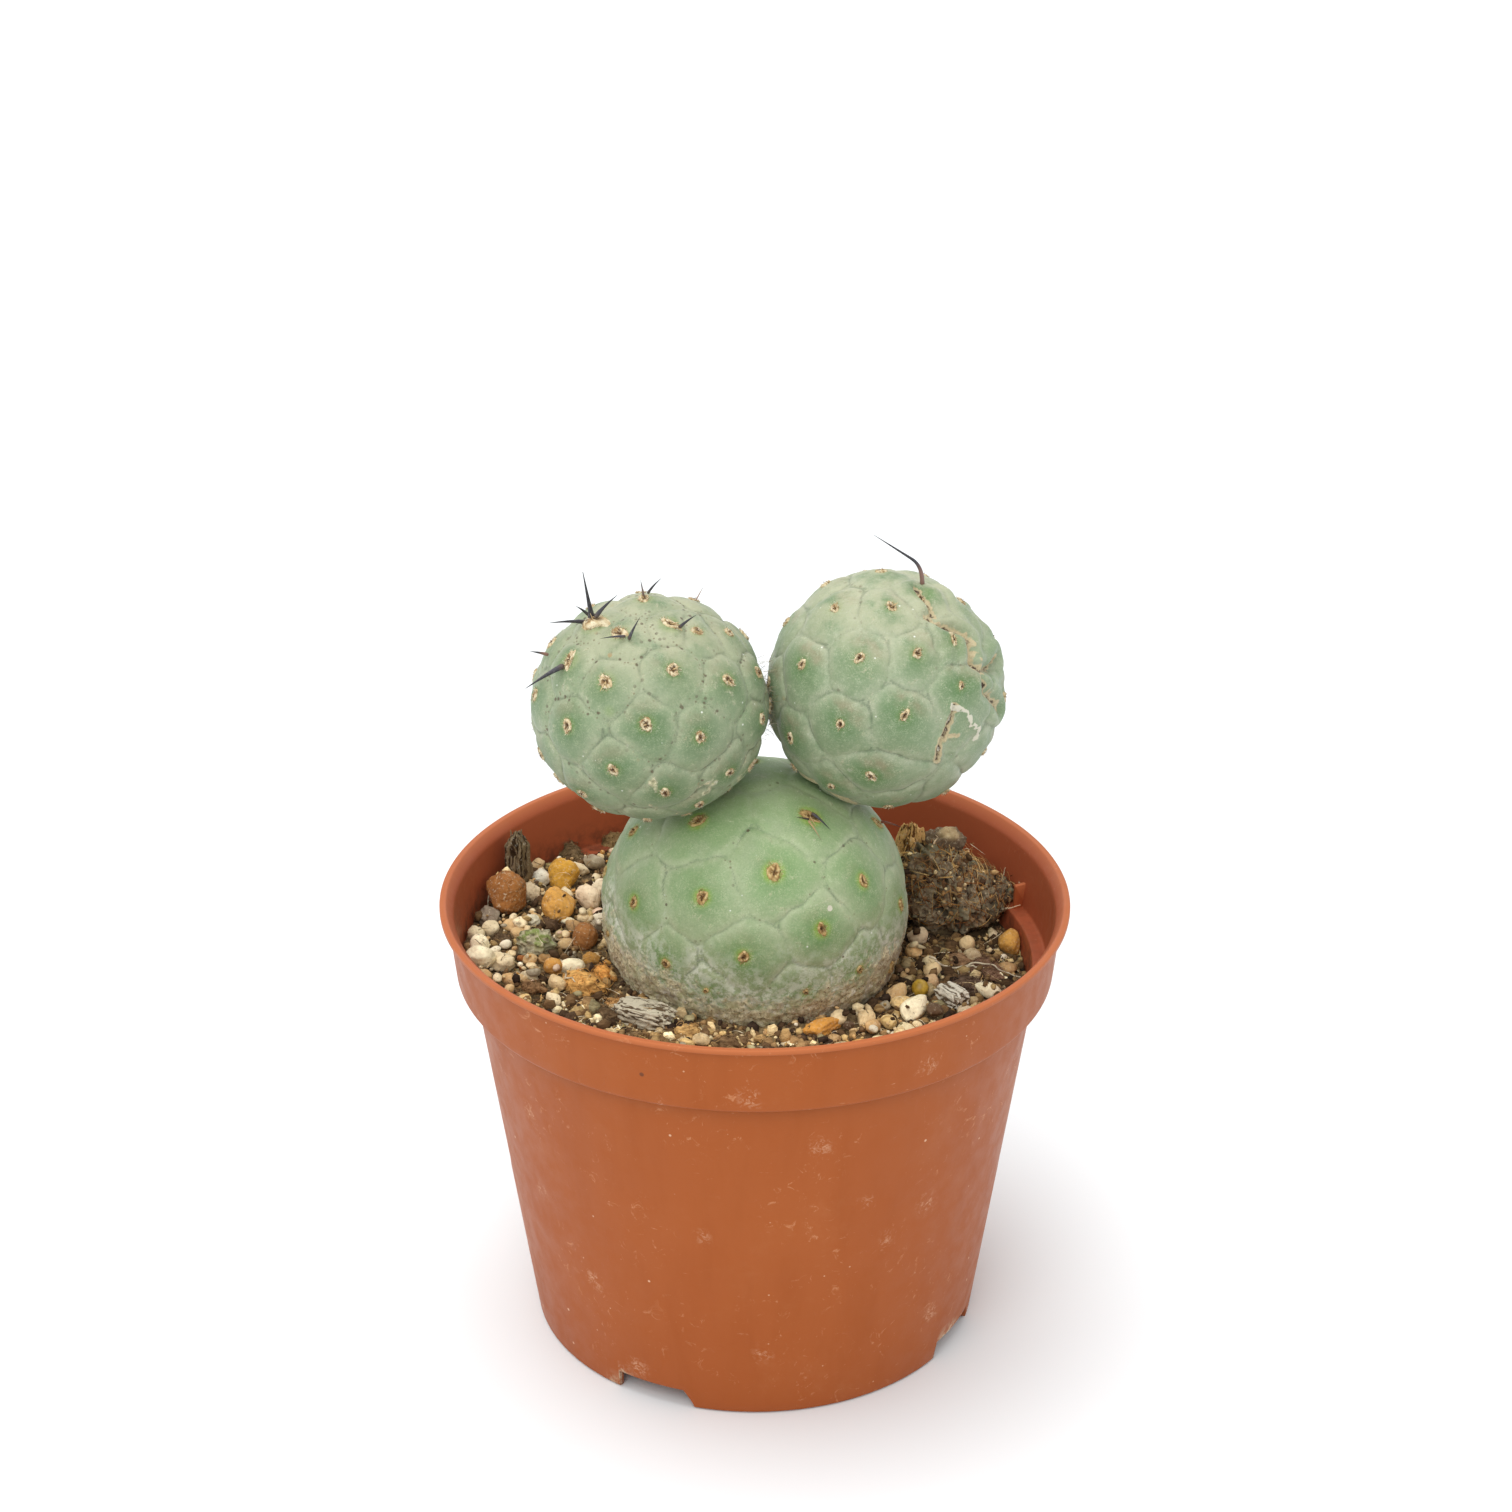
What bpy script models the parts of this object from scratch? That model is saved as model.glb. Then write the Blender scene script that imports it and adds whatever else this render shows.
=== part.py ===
"""Potted round cactus: three round segments in a plastic nursery pot of gritty soil.

Metres, +Z up. The origin is the centre of the pot's foot, on the surface that it stands on.
The front faces -Y, and every heading is an angle from the front, positive towards +X.
"""

import math
import random

import bmesh
import bpy
from mathutils import Vector, noise

# Gaps between pieces that touch.
CLEARANCE = 0.0003
SEAT_GAP = 0.0004

# Pot. Radii are outer ones.
POT_HEIGHT = 0.0778
RIM_RADIUS = 0.0525
FOOT_RADIUS = 0.0379
WALL = 0.0011
LIP_HEIGHT = 0.0009
LIP_OVERHANG = 0.0011
COLLAR_HEIGHT = 0.0126
COLLAR_TAPER = 0.0014
COLLAR_STEP = 0.0025
FLOOR_LIFT = 0.0040
FLOOR_THICKNESS = 0.0013
POT_FACETS = 72

# Drainage: notches through the foot ring, and a hole through the floor behind each one.
NOTCH_COUNT = 4
NOTCH_FIRST_HEADING = -26.0
NOTCH_WIDTH = 0.0138
NOTCH_HEIGHT = 0.0034
NOTCH_SLANT = 0.0016
DRAIN_RADIUS = 0.0035
DRAIN_INSET = 0.0075

# Soil. Its surface falls from the left (-X) to the right.
SOIL_BELOW_RIM = 0.0128
SOIL_SLOPE = 0.05
SOIL_ROUGHNESS = 0.0006
SOIL_LUMP_SIZE = 0.011

# Lower segment: its middle stands clear of the soil, its base is buried, and a root goes down.
LOWER_RADIUS = 0.0257
LOWER_CROWN = 0.0243
LOWER_BURIED_DEPTH = 0.0280
LOWER_MIDDLE_ABOVE_SOIL = 0.0096
LOWER_BEHIND_CENTRE = 0.0026
ROOT_TOP_RADIUS = 0.0060
ROOT_TIP_RADIUS = 0.0022
ROOT_LENGTH = 0.0180

# Upper segments: half width and half height, where they lean, and how deep each is pressed
# onto the lower segment at its joint, where it takes the lower one's shape.
JOINT_PRESS = 0.0012
RIGHT_RADIUS = 0.0193
RIGHT_HALF_HEIGHT = 0.0198
RIGHT_HEADING = 99.0
RIGHT_LEAN = 29.5
LEFT_RADIUS = 0.0194
LEFT_HALF_HEIGHT = 0.0182
LEFT_HEADING = -75.0
LEFT_LEAN_START = 10.0
LEAN_STEP = 0.25

# Tubercles: low swellings in a golden-angle spiral on every segment.
GOLDEN_ANGLE = math.pi * (3.0 - math.sqrt(5.0))
TUBERCLE_COUNT = 62
TUBERCLE_RISE = 0.00035

# Spines: name, segment, areole heading and height (degrees), pointing heading and height
# (degrees), length and base width (metres), and how far the tip bends over (share of length).
SPINES = (
    ("left_crown_spine_1", "left_segment", -66, 60, -50, 75, 0.0080, 0.0010, 0.00),
    ("left_crown_spine_2", "left_segment", -73, 57, -67, 8, 0.0064, 0.0008, 0.04),
    ("left_crown_spine_3", "left_segment", -55, 60, 78, 57, 0.0051, 0.0007, 0.03),
    ("left_crown_spine_4", "left_segment", -83, 62, -80, 40, 0.0034, 0.0006, 0.03),
    ("left_front_spine_1", "left_segment", -15, 59, 67, 64, 0.0037, 0.0006, 0.03),
    ("left_front_spine_2", "left_segment", -23, 58, -71, 2, 0.0034, 0.0005, 0.03),
    ("left_side_spine_1", "left_segment", -56, 33, -51, -14, 0.0066, 0.0010, 0.02),
    ("left_side_spine_2", "left_segment", -80, 32, -58, 22, 0.0027, 0.0006, 0.02),
    ("left_top_spine_1", "left_segment", 39, 63, 59, 42, 0.0034, 0.0006, 0.03),
    ("left_top_spine_2", "left_segment", -160, 82, -19, 69, 0.0028, 0.0005, 0.03),
    ("left_top_spine_3", "left_segment", 178, 78, 53, 49, 0.0036, 0.0005, 0.03),
    ("left_back_spine_1", "left_segment", 124, 61, 60, 62, 0.0026, 0.0005, 0.03),
    ("right_crown_spine", "right_segment", 80, 71, -76, 52, 0.0122, 0.0011, 0.16),
    ("lower_front_spine_1", "lower_segment", 43, 57, 64, -8, 0.0046, 0.0006, 0.05),
    ("lower_front_spine_2", "lower_segment", 37, 54, 37, -25, 0.0040, 0.0005, 0.05),
    ("lower_side_spine", "lower_segment", 92, 34, 56, 0, 0.0034, 0.0005, 0.03),
)
SPINE_SIDES = 6
SPINE_RINGS = 5

# Lumps on the soil: name, kind, heading (degrees), place across the ring of bare soil (0 at the
# cactus, 1 at the wall), half length, half width and half height (metres), and the turn of the
# long side from the tangent (degrees).
LUMPS = (
    ("upright_bark", "bark", -119, 1.00, 0.0022, 0.0016, 0.0046, 0),
    ("ochre_pebble_1", "ochre", -127, 0.75, 0.0030, 0.0027, 0.0026, 20),
    ("pink_pebble", "pink", -123, 0.24, 0.0027, 0.0021, 0.0021, 60),
    ("orange_lump", "orange", -109, 1.00, 0.0040, 0.0031, 0.0032, 30),
    ("ochre_pebble_2", "ochre", -112, 0.42, 0.0035, 0.0029, 0.0029, 40),
    ("ochre_pebble_3", "ochre", -98, 0.00, 0.0031, 0.0022, 0.0023, 15),
    ("mossy_rock", "mossy", -91, 0.48, 0.0041, 0.0031, 0.0028, 75),
    ("cream_pebble_1", "cream", -81, 1.00, 0.0025, 0.0022, 0.0022, 50),
    ("cream_pebble_2", "cream", -88, 0.95, 0.0019, 0.0016, 0.0016, 10),
    ("cream_pebble_3", "cream", -79, 0.18, 0.0021, 0.0015, 0.0014, 70),
    ("tan_pebble_1", "tan", -70, 0.40, 0.0018, 0.0015, 0.0014, 30),
    ("cream_pebble_4", "cream", -46, 0.65, 0.0018, 0.0013, 0.0012, 40),
    ("bark_chip", "bark", -40, 0.06, 0.0044, 0.0024, 0.0017, 12),
    ("tan_pebble_2", "tan", -17, 0.25, 0.0016, 0.0012, 0.0011, 0),
    ("orange_chip", "orange", 25, 0.00, 0.0034, 0.0013, 0.0011, 5),
    ("tan_pebble_3", "tan", 43, 0.02, 0.0022, 0.0016, 0.0015, 35),
    ("cream_pebble_5", "cream", 60, 0.20, 0.0034, 0.0023, 0.0021, 10),
    ("fertiliser_bead", "bead", 72, 0.12, 0.0015, 0.0015, 0.0015, 0),
    ("white_bark", "bark", 72, 0.42, 0.0026, 0.0017, 0.0014, 60),
    ("cream_pebble_6", "cream", 78, 0.74, 0.0022, 0.0015, 0.0013, 70),
    ("tan_pebble_4", "tan", 86, 0.15, 0.0018, 0.0015, 0.0014, 0),
    ("tan_pebble_5", "tan", 103, 0.55, 0.0017, 0.0014, 0.0014, 20),
    ("ochre_pebble_4", "ochre", 101, 1.00, 0.0025, 0.0018, 0.0023, 0),
    ("peat_clump", "peat", 122, 1.00, 0.0112, 0.0082, 0.0098, 30),
    ("cream_pebble_7", "cream", 158, 0.45, 0.0028, 0.0022, 0.0020, 15),
    ("ochre_pebble_5", "ochre", 176, 0.70, 0.0031, 0.0026, 0.0024, 40),
    ("tan_pebble_6", "tan", -167, 0.30, 0.0026, 0.0020, 0.0019, 0),
    ("cream_pebble_8", "cream", -150, 0.60, 0.0027, 0.0023, 0.0021, 25),
)
LUMP_SINK = 0.30
LUMP_ROUGHNESS = 0.10
SPREAD_ROUNDS = 80

# Colours and roughness of each material.
FINISHES = {
    "terracotta_plastic": ((0.43, 0.115, 0.043), 0.42),
    "soil": ((0.060, 0.042, 0.028), 0.95),
    "skin": ((0.30, 0.45, 0.28), 0.60),
    "spine": ((0.022, 0.020, 0.022), 0.40),
    "bark": ((0.16, 0.12, 0.085), 0.90),
    "ochre": ((0.48, 0.27, 0.10), 0.90),
    "orange": ((0.40, 0.19, 0.065), 0.90),
    "pink": ((0.62, 0.45, 0.32), 0.90),
    "mossy": ((0.33, 0.33, 0.26), 0.90),
    "cream": ((0.68, 0.58, 0.43), 0.90),
    "tan": ((0.50, 0.37, 0.23), 0.90),
    "bead": ((0.50, 0.36, 0.08), 0.45),
    "peat": ((0.075, 0.045, 0.028), 0.95),
}

# What the sizes above work out to.
BODY_TOP = POT_HEIGHT - COLLAR_HEIGHT
COLLAR_TOP_RADIUS = RIM_RADIUS - LIP_OVERHANG
COLLAR_FOOT_RADIUS = COLLAR_TOP_RADIUS - COLLAR_TAPER
BODY_TOP_RADIUS = COLLAR_FOOT_RADIUS - COLLAR_STEP
LEDGE = BODY_TOP + WALL
FLOOR_TOP = FLOOR_LIFT + FLOOR_THICKNESS
SOIL_LEVEL = POT_HEIGHT - SOIL_BELOW_RIM
LOWER_MIDDLE = SOIL_LEVEL + LOWER_MIDDLE_ABOVE_SOIL


def clear_scene():
    for obj in list(bpy.data.objects):
        bpy.data.objects.remove(obj, do_unlink=True)


def make_material(name):
    colour, roughness = FINISHES[name]
    material = bpy.data.materials.new(name)
    material.use_nodes = True
    shader = material.node_tree.nodes["Principled BSDF"]
    shader.inputs["Base Color"].default_value = (*colour, 1.0)
    shader.inputs["Roughness"].default_value = roughness
    shader.inputs["Metallic"].default_value = 0.0
    material.diffuse_color = (*colour, 1.0)
    return material


def add_object(name, bm, material=None):
    """Puts the mesh in the scene with its faces out. With no material, it is a hidden cutter."""
    bmesh.ops.recalc_face_normals(bm, faces=bm.faces)
    mesh = bpy.data.meshes.new(name)
    bm.to_mesh(mesh)
    bm.free()
    obj = bpy.data.objects.new(name, mesh)
    bpy.context.scene.collection.objects.link(obj)
    if material is None:
        obj.hide_render = True
        obj.display_type = "WIRE"
    else:
        mesh.materials.append(material)
        mesh.shade_smooth()
        mesh.set_sharp_from_angle(angle=math.radians(35.0))
    return obj


def add_boolean(obj, cutter, operation):
    modifier = obj.modifiers.new(cutter.name, "BOOLEAN")
    modifier.operation = operation
    modifier.solver = "EXACT"
    modifier.object = cutter


def heading_vector(heading, height=0.0):
    """The unit vector at a heading from the front and a height above the horizon, in degrees."""
    turn = math.radians(heading)
    rise = math.radians(height)
    return Vector((math.sin(turn) * math.cos(rise), -math.cos(turn) * math.cos(rise), math.sin(rise)))


def turned(profile, facets):
    """A closed body turned about Z from (radius, height) points. A point at radius 0 is a pole."""
    bm = bmesh.new()
    rings = []
    for radius, height in profile:
        count = facets if radius > 0.0 else 1
        angles = [2.0 * math.pi * i / facets for i in range(count)]
        ring = [bm.verts.new((radius * math.cos(a), radius * math.sin(a), height)) for a in angles]
        rings.append(ring)
    for upper, lower in zip(rings, rings[1:] + rings[:1]):
        if len(upper) == 1 and len(lower) == 1:
            continue
        for i in range(facets):
            j = (i + 1) % facets
            corners = [upper[i % len(upper)], upper[j % len(upper)]]
            corners += [lower[j % len(lower)], lower[i % len(lower)]]
            bm.faces.new(list(dict.fromkeys(corners)))
    return bm


def body_radius(height):
    """The pot's outer radius below the collar."""
    return FOOT_RADIUS + (BODY_TOP_RADIUS - FOOT_RADIUS) * height / BODY_TOP


def collar_radius(height):
    """The collar's outer radius."""
    return COLLAR_FOOT_RADIUS + COLLAR_TAPER * (height - BODY_TOP) / COLLAR_HEIGHT


def pot_profile():
    lip_foot = POT_HEIGHT - LIP_HEIGHT
    return (
        (RIM_RADIUS, POT_HEIGHT),
        (RIM_RADIUS, lip_foot),
        (collar_radius(lip_foot), lip_foot),
        (COLLAR_FOOT_RADIUS, BODY_TOP),
        (BODY_TOP_RADIUS, BODY_TOP),
        (FOOT_RADIUS, 0.0),
        (FOOT_RADIUS - WALL, 0.0),
        (body_radius(FLOOR_LIFT) - WALL, FLOOR_LIFT),
        (0.0, FLOOR_LIFT),
        (0.0, FLOOR_TOP),
        (body_radius(FLOOR_TOP) - WALL, FLOOR_TOP),
        (body_radius(LEDGE) - WALL, LEDGE),
        (collar_radius(LEDGE) - WALL, LEDGE),
        (collar_radius(POT_HEIGHT) - WALL, POT_HEIGHT),
    )


def notch_cutter(heading):
    """A block through the foot ring with one upright side and one slanted side."""
    half = NOTCH_WIDTH / 2.0
    outline = (
        (-half, -NOTCH_HEIGHT),
        (half, -NOTCH_HEIGHT),
        (half - NOTCH_SLANT, NOTCH_HEIGHT),
        (-half, NOTCH_HEIGHT),
    )
    outward = heading_vector(heading)
    sideways = heading_vector(heading + 90.0)
    bm = bmesh.new()
    loops = []
    for radius in (FOOT_RADIUS - 4.0 * WALL, FOOT_RADIUS + 4.0 * WALL):
        points = [outward * radius + sideways * x + Vector((0.0, 0.0, z)) for x, z in outline]
        loops.append([bm.verts.new(point) for point in points])
    bm.faces.new(loops[0])
    bm.faces.new(loops[1])
    bmesh.ops.bridge_loops(bm, edges=[edge for edge in bm.edges])
    return add_object(f"notch_cutter_{heading:.0f}", bm)


def drain_cutter(heading):
    """A round punch through the floor."""
    bm = turned(
        ((0.0, FLOOR_TOP + WALL), (DRAIN_RADIUS, FLOOR_TOP + WALL),
         (DRAIN_RADIUS, FLOOR_LIFT - WALL), (0.0, FLOOR_LIFT - WALL)),
        16,
    )
    centre = heading_vector(heading) * (FOOT_RADIUS - WALL - DRAIN_INSET)
    bmesh.ops.translate(bm, verts=bm.verts, vec=centre)
    return add_object(f"drain_cutter_{heading:.0f}", bm)


def make_pot(material):
    pot = add_object("pot", turned(pot_profile(), POT_FACETS), material)
    for i in range(NOTCH_COUNT):
        heading = NOTCH_FIRST_HEADING + i * 360.0 / NOTCH_COUNT
        add_boolean(pot, notch_cutter(heading), "DIFFERENCE")
        add_boolean(pot, drain_cutter(heading), "DIFFERENCE")
    return pot


def soil_height(x, y):
    """The height of the soil's surface."""
    lumps = noise.noise(Vector((x, y, 0.0)) / SOIL_LUMP_SIZE)
    return SOIL_LEVEL - SOIL_SLOPE * x + SOIL_ROUGHNESS * lumps


def soil_slab_cutter():
    """Everything up to the soil's surface, wider than the pot."""
    rings = 14
    facets = 48
    reach = RIM_RADIUS + 2.0 * COLLAR_STEP
    bm = bmesh.new()
    centre = bm.verts.new((0.0, 0.0, soil_height(0.0, 0.0)))
    previous = [centre]
    for k in range(1, rings + 1):
        radius = reach * k / rings
        ring = []
        for i in range(facets):
            angle = 2.0 * math.pi * i / facets
            x, y = radius * math.cos(angle), radius * math.sin(angle)
            ring.append(bm.verts.new((x, y, soil_height(x, y))))
        for i in range(facets):
            j = (i + 1) % facets
            corners = [previous[i % len(previous)], previous[j % len(previous)], ring[j], ring[i]]
            bm.faces.new(list(dict.fromkeys(corners)))
        previous = ring
    base = [bm.verts.new((v.co.x, v.co.y, -COLLAR_HEIGHT)) for v in previous]
    for i in range(facets):
        j = (i + 1) % facets
        bm.faces.new((previous[i], previous[j], base[j], base[i]))
    bm.faces.new(base)
    return add_object("soil_slab_cutter", bm)


def inside_of_pot():
    """The space inside the pot less a clearance, with its ledge."""
    bottom = FLOOR_TOP + CLEARANCE
    shelf = LEDGE + CLEARANCE
    side = WALL + CLEARANCE
    profile = (
        (0.0, POT_HEIGHT),
        (collar_radius(POT_HEIGHT) - side, POT_HEIGHT),
        (collar_radius(shelf) - side, shelf),
        (body_radius(shelf) - side, shelf),
        (body_radius(bottom) - side, bottom),
        (0.0, bottom),
    )
    return turned(profile, POT_FACETS)


def make_soil(material, seats):
    """The inside of the pot, cut to the soil's surface and around what sits in it."""
    soil = add_object("soil", inside_of_pot(), material)
    add_boolean(soil, soil_slab_cutter(), "INTERSECT")
    for seat in seats:
        add_boolean(soil, seat, "DIFFERENCE")
    return soil


def areole_directions(axis):
    """Directions from a segment's centre to its areoles, in a spiral about its axis."""
    to_axis = Vector((0.0, 0.0, 1.0)).rotation_difference(axis)
    directions = []
    for i in range(TUBERCLE_COUNT):
        height = 1.0 - 2.0 * (i + 0.5) / TUBERCLE_COUNT
        across = math.sqrt(1.0 - height * height)
        turn = GOLDEN_ANGLE * i
        directions.append(to_axis @ Vector((across * math.cos(turn), across * math.sin(turn), height)))
    return directions


def segment_radius(direction, half_sizes):
    """How far an oval with these half sizes (X, Y, Z) reaches along a unit direction."""
    return 1.0 / math.sqrt(sum((d / size) ** 2 for d, size in zip(direction, half_sizes)))


def segment_mesh(half_sizes, axis, grow=0.0):
    """An oval with a low swelling at each areole. half_sizes maps a direction to half sizes."""
    cell = math.sqrt(4.0 * math.pi / TUBERCLE_COUNT) / 2.0
    areoles = areole_directions(axis)
    bm = bmesh.new()
    bmesh.ops.create_icosphere(bm, subdivisions=4, radius=1.0)
    for vertex in bm.verts:
        direction = vertex.co.normalized()
        nearest = min(direction.angle(areole) for areole in areoles)
        swelling = math.cos(min(nearest / cell, 1.0) * math.pi / 2.0) ** 2
        reach = segment_radius(direction, half_sizes(direction))
        vertex.co = direction * (reach + TUBERCLE_RISE * (swelling - 1.0) + grow)
    return bm


def lower_half_sizes(direction):
    height = LOWER_CROWN if direction.z > 0.0 else LOWER_BURIED_DEPTH
    return (LOWER_RADIUS, LOWER_RADIUS, height)


def right_half_sizes(_direction):
    return (RIGHT_RADIUS, RIGHT_RADIUS, RIGHT_HALF_HEIGHT)


def left_half_sizes(_direction):
    return (LEFT_RADIUS, LEFT_RADIUS, LEFT_HALF_HEIGHT)


def clear_of(centre, half_sizes, other_centre, other_half_sizes):
    """Whether two ovals keep the clearance, tested at points all over the first one."""
    samples = 500
    for i in range(samples):
        height = 1.0 - 2.0 * (i + 0.5) / samples
        across = math.sqrt(1.0 - height * height)
        turn = GOLDEN_ANGLE * i
        direction = Vector((across * math.cos(turn), across * math.sin(turn), height))
        point = centre + direction * segment_radius(direction, half_sizes(direction))
        away = point - other_centre
        unit = away.normalized()
        if away.length < segment_radius(unit, other_half_sizes(unit)) + CLEARANCE:
            return False
    return True


def seated_centre(direction, half_sizes, lower_centre):
    """The centre of an upper segment pressed onto the lower one along a direction."""
    near, far = 0.0, 3.0 * LOWER_RADIUS + 3.0 * max(half_sizes(direction))
    while far - near > CLEARANCE / 20.0:
        middle = (near + far) / 2.0
        if clear_of(lower_centre + direction * middle, half_sizes, lower_centre, lower_half_sizes):
            far = middle
        else:
            near = middle
    return lower_centre + direction * (far - JOINT_PRESS)


def place_segments():
    """The three centres and axes. The left segment leans out until it clears the right one."""
    lower = Vector((0.0, LOWER_BEHIND_CENTRE, LOWER_MIDDLE))
    right_axis = heading_vector(RIGHT_HEADING, 90.0 - RIGHT_LEAN)
    right = seated_centre(right_axis, right_half_sizes, lower)
    lean = LEFT_LEAN_START
    while True:
        left_axis = heading_vector(LEFT_HEADING, 90.0 - lean)
        left = seated_centre(left_axis, left_half_sizes, lower)
        if clear_of(left, left_half_sizes, right, right_half_sizes):
            break
        lean += LEAN_STEP
    return {
        "lower_segment": (lower, Vector((0.0, 0.0, 1.0)), lower_half_sizes),
        "right_segment": (right, right_axis, right_half_sizes),
        "left_segment": (left, left_axis, left_half_sizes),
    }


def root_cutter(name, centre, grow=0.0):
    """The tapering root under the lower segment."""
    top = centre.z - LOWER_BURIED_DEPTH / 2.0
    bottom = centre.z - LOWER_BURIED_DEPTH - ROOT_LENGTH
    profile = (
        (0.0, top + grow),
        (ROOT_TOP_RADIUS + grow, top + grow),
        (ROOT_TIP_RADIUS + grow, bottom + ROOT_TIP_RADIUS),
        (ROOT_TIP_RADIUS / 2.0 + grow, bottom - grow),
        (0.0, bottom - grow),
    )
    bm = turned(profile, 16)
    bmesh.ops.translate(bm, verts=bm.verts, vec=(centre.x, centre.y, 0.0))
    return add_object(name, bm)


def press_onto_lower(bm, lower_centre):
    """Dents an upper segment where it meets the lower one."""
    for vertex in bm.verts:
        away = vertex.co - lower_centre
        unit = away.normalized()
        limit = segment_radius(unit, lower_half_sizes(unit)) + CLEARANCE
        if away.length < limit:
            vertex.co = lower_centre + unit * limit


def make_segments(places, material):
    lower_centre = places["lower_segment"][0]
    for name, (centre, axis, half_sizes) in places.items():
        bm = segment_mesh(half_sizes, axis)
        bmesh.ops.translate(bm, verts=bm.verts, vec=centre)
        if name != "lower_segment":
            press_onto_lower(bm, lower_centre)
        segment = add_object(name, bm, material)
        if name == "lower_segment":
            add_boolean(segment, root_cutter("root_shape", centre), "UNION")


def make_lower_seats(places):
    """The hollows in the soil for the lower segment and its root."""
    centre, axis, half_sizes = places["lower_segment"]
    bm = segment_mesh(half_sizes, axis, grow=SEAT_GAP)
    bmesh.ops.translate(bm, verts=bm.verts, vec=centre)
    return [add_object("lower_seat_cutter", bm), root_cutter("root_seat_cutter", centre, grow=SEAT_GAP)]


def make_spine(spec, places, material):
    """A thin cone that bends towards its tip, just off the skin of its segment."""
    name, segment, heading, height, point_heading, point_height, length, width, bend = spec
    centre, _axis, half_sizes = places[segment]
    outward = heading_vector(heading, height)
    pointing = heading_vector(point_heading, point_height)
    # The base ring is tilted, so its lowest corner is what has to clear the skin.
    lift = CLEARANCE + width / 2.0 + TUBERCLE_RISE
    base = centre + outward * (segment_radius(outward, half_sizes(outward)) + lift)
    sideways = pointing.cross(outward).normalized()
    over = sideways.cross(pointing).normalized()
    bm = bmesh.new()
    rings = []
    for k in range(SPINE_RINGS):
        along = k / (SPINE_RINGS - 1)
        middle = base + pointing * (length * along) - over * (bend * length * along * along)
        radius = width / 2.0 * (1.0 - 0.85 * along)
        ring = []
        for i in range(SPINE_SIDES):
            angle = 2.0 * math.pi * i / SPINE_SIDES
            offset = sideways * math.cos(angle) + over * math.sin(angle)
            ring.append(bm.verts.new(middle + offset * radius))
        rings.append(ring)
    for first, second in zip(rings, rings[1:]):
        for i in range(SPINE_SIDES):
            j = (i + 1) % SPINE_SIDES
            bm.faces.new((first[i], first[j], second[j], second[i]))
    bm.faces.new(rings[0])
    bm.faces.new(rings[-1])
    return add_object(name, bm, material)


def plan_reach(lump, direction):
    """How far a lump's plan reaches from its centre along a level direction."""
    along = direction.dot(lump["long_side"])
    across = math.sqrt(max(0.0, 1.0 - along * along))
    return math.hypot(lump["half_length"] * along, lump["half_width"] * across)


def over_ledge(lump, place):
    """Whether a lump may reach over the pot's ledge: where soil covers it, or as soft peat."""
    return lump["kind"] == "peat" or soil_height(place.x, place.y) > LEDGE + CLEARANCE


def keep_in_ring(lump, share=None):
    """Holds a lump between the cactus and the wall. A share places it across that ring."""
    outward = lump["place"].normalized()
    reach = plan_reach(lump, outward) * (1.0 + LUMP_ROUGHNESS) + CLEARANCE
    offset = Vector((0.0, LOWER_BEHIND_CENTRE))
    along = offset.dot(outward)
    cactus = along + math.sqrt(LOWER_RADIUS**2 - offset.length_squared + along * along)
    wall = body_radius(LEDGE) - WALL
    if over_ledge(lump, outward * wall):
        wall = collar_radius(LEDGE) - WALL
    inner, outer = cactus + reach, wall - reach
    if inner > outer:
        shrink = 0.98 * (wall - cactus) / (2.0 * reach)
        for size in ("half_length", "half_width", "half_height"):
            lump[size] *= shrink
        keep_in_ring(lump, share)
        return
    radius = inner + share * (outer - inner) if share is not None else lump["place"].length
    lump["place"] = outward * min(max(radius, inner), outer)


def lay_out_lumps():
    """Plan places of the lumps, pushed apart until no two touch."""
    lumps = []
    for name, kind, heading, share, half_length, half_width, half_height, turn in LUMPS:
        outward = heading_vector(heading).to_2d()
        long_side = heading_vector(heading + 90.0 + turn).to_2d()
        lump = {
            "name": name, "kind": kind, "place": outward, "long_side": long_side,
            "half_length": half_length, "half_width": half_width, "half_height": half_height,
        }
        keep_in_ring(lump, share)
        lumps.append(lump)
    for _round in range(SPREAD_ROUNDS):
        for i, first in enumerate(lumps):
            for second in lumps[i + 1:]:
                between = second["place"] - first["place"]
                direction = between.normalized()
                room = plan_reach(first, direction) + plan_reach(second, direction)
                short = room * (1.0 + LUMP_ROUGHNESS) + 2.0 * CLEARANCE - between.length
                if short > 0.0:
                    first["place"] = first["place"] - direction * (short / 2.0)
                    second["place"] = second["place"] + direction * (short / 2.0)
                    keep_in_ring(first)
                    keep_in_ring(second)
    return lumps


def resting_height(lump):
    """The height of a lump's centre: part sunk in the soil, and clear of the ledge below it."""
    place, half_height = lump["place"], lump["half_height"]
    height = soil_height(place.x, place.y) + half_height * (1.0 - 2.0 * LUMP_SINK)
    if lump["kind"] == "peat" or not over_ledge(lump, place):
        return height
    reach = plan_reach(lump, place.normalized()) * (1.0 + LUMP_ROUGHNESS)
    inside = (body_radius(LEDGE) - WALL - place.length) / reach
    if inside >= 1.0:
        return height
    below = half_height * (1.0 + LUMP_ROUGHNESS) * math.sqrt(1.0 - max(inside, 0.0) ** 2)
    return max(height, LEDGE + 2.0 * CLEARANCE + below)


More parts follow.
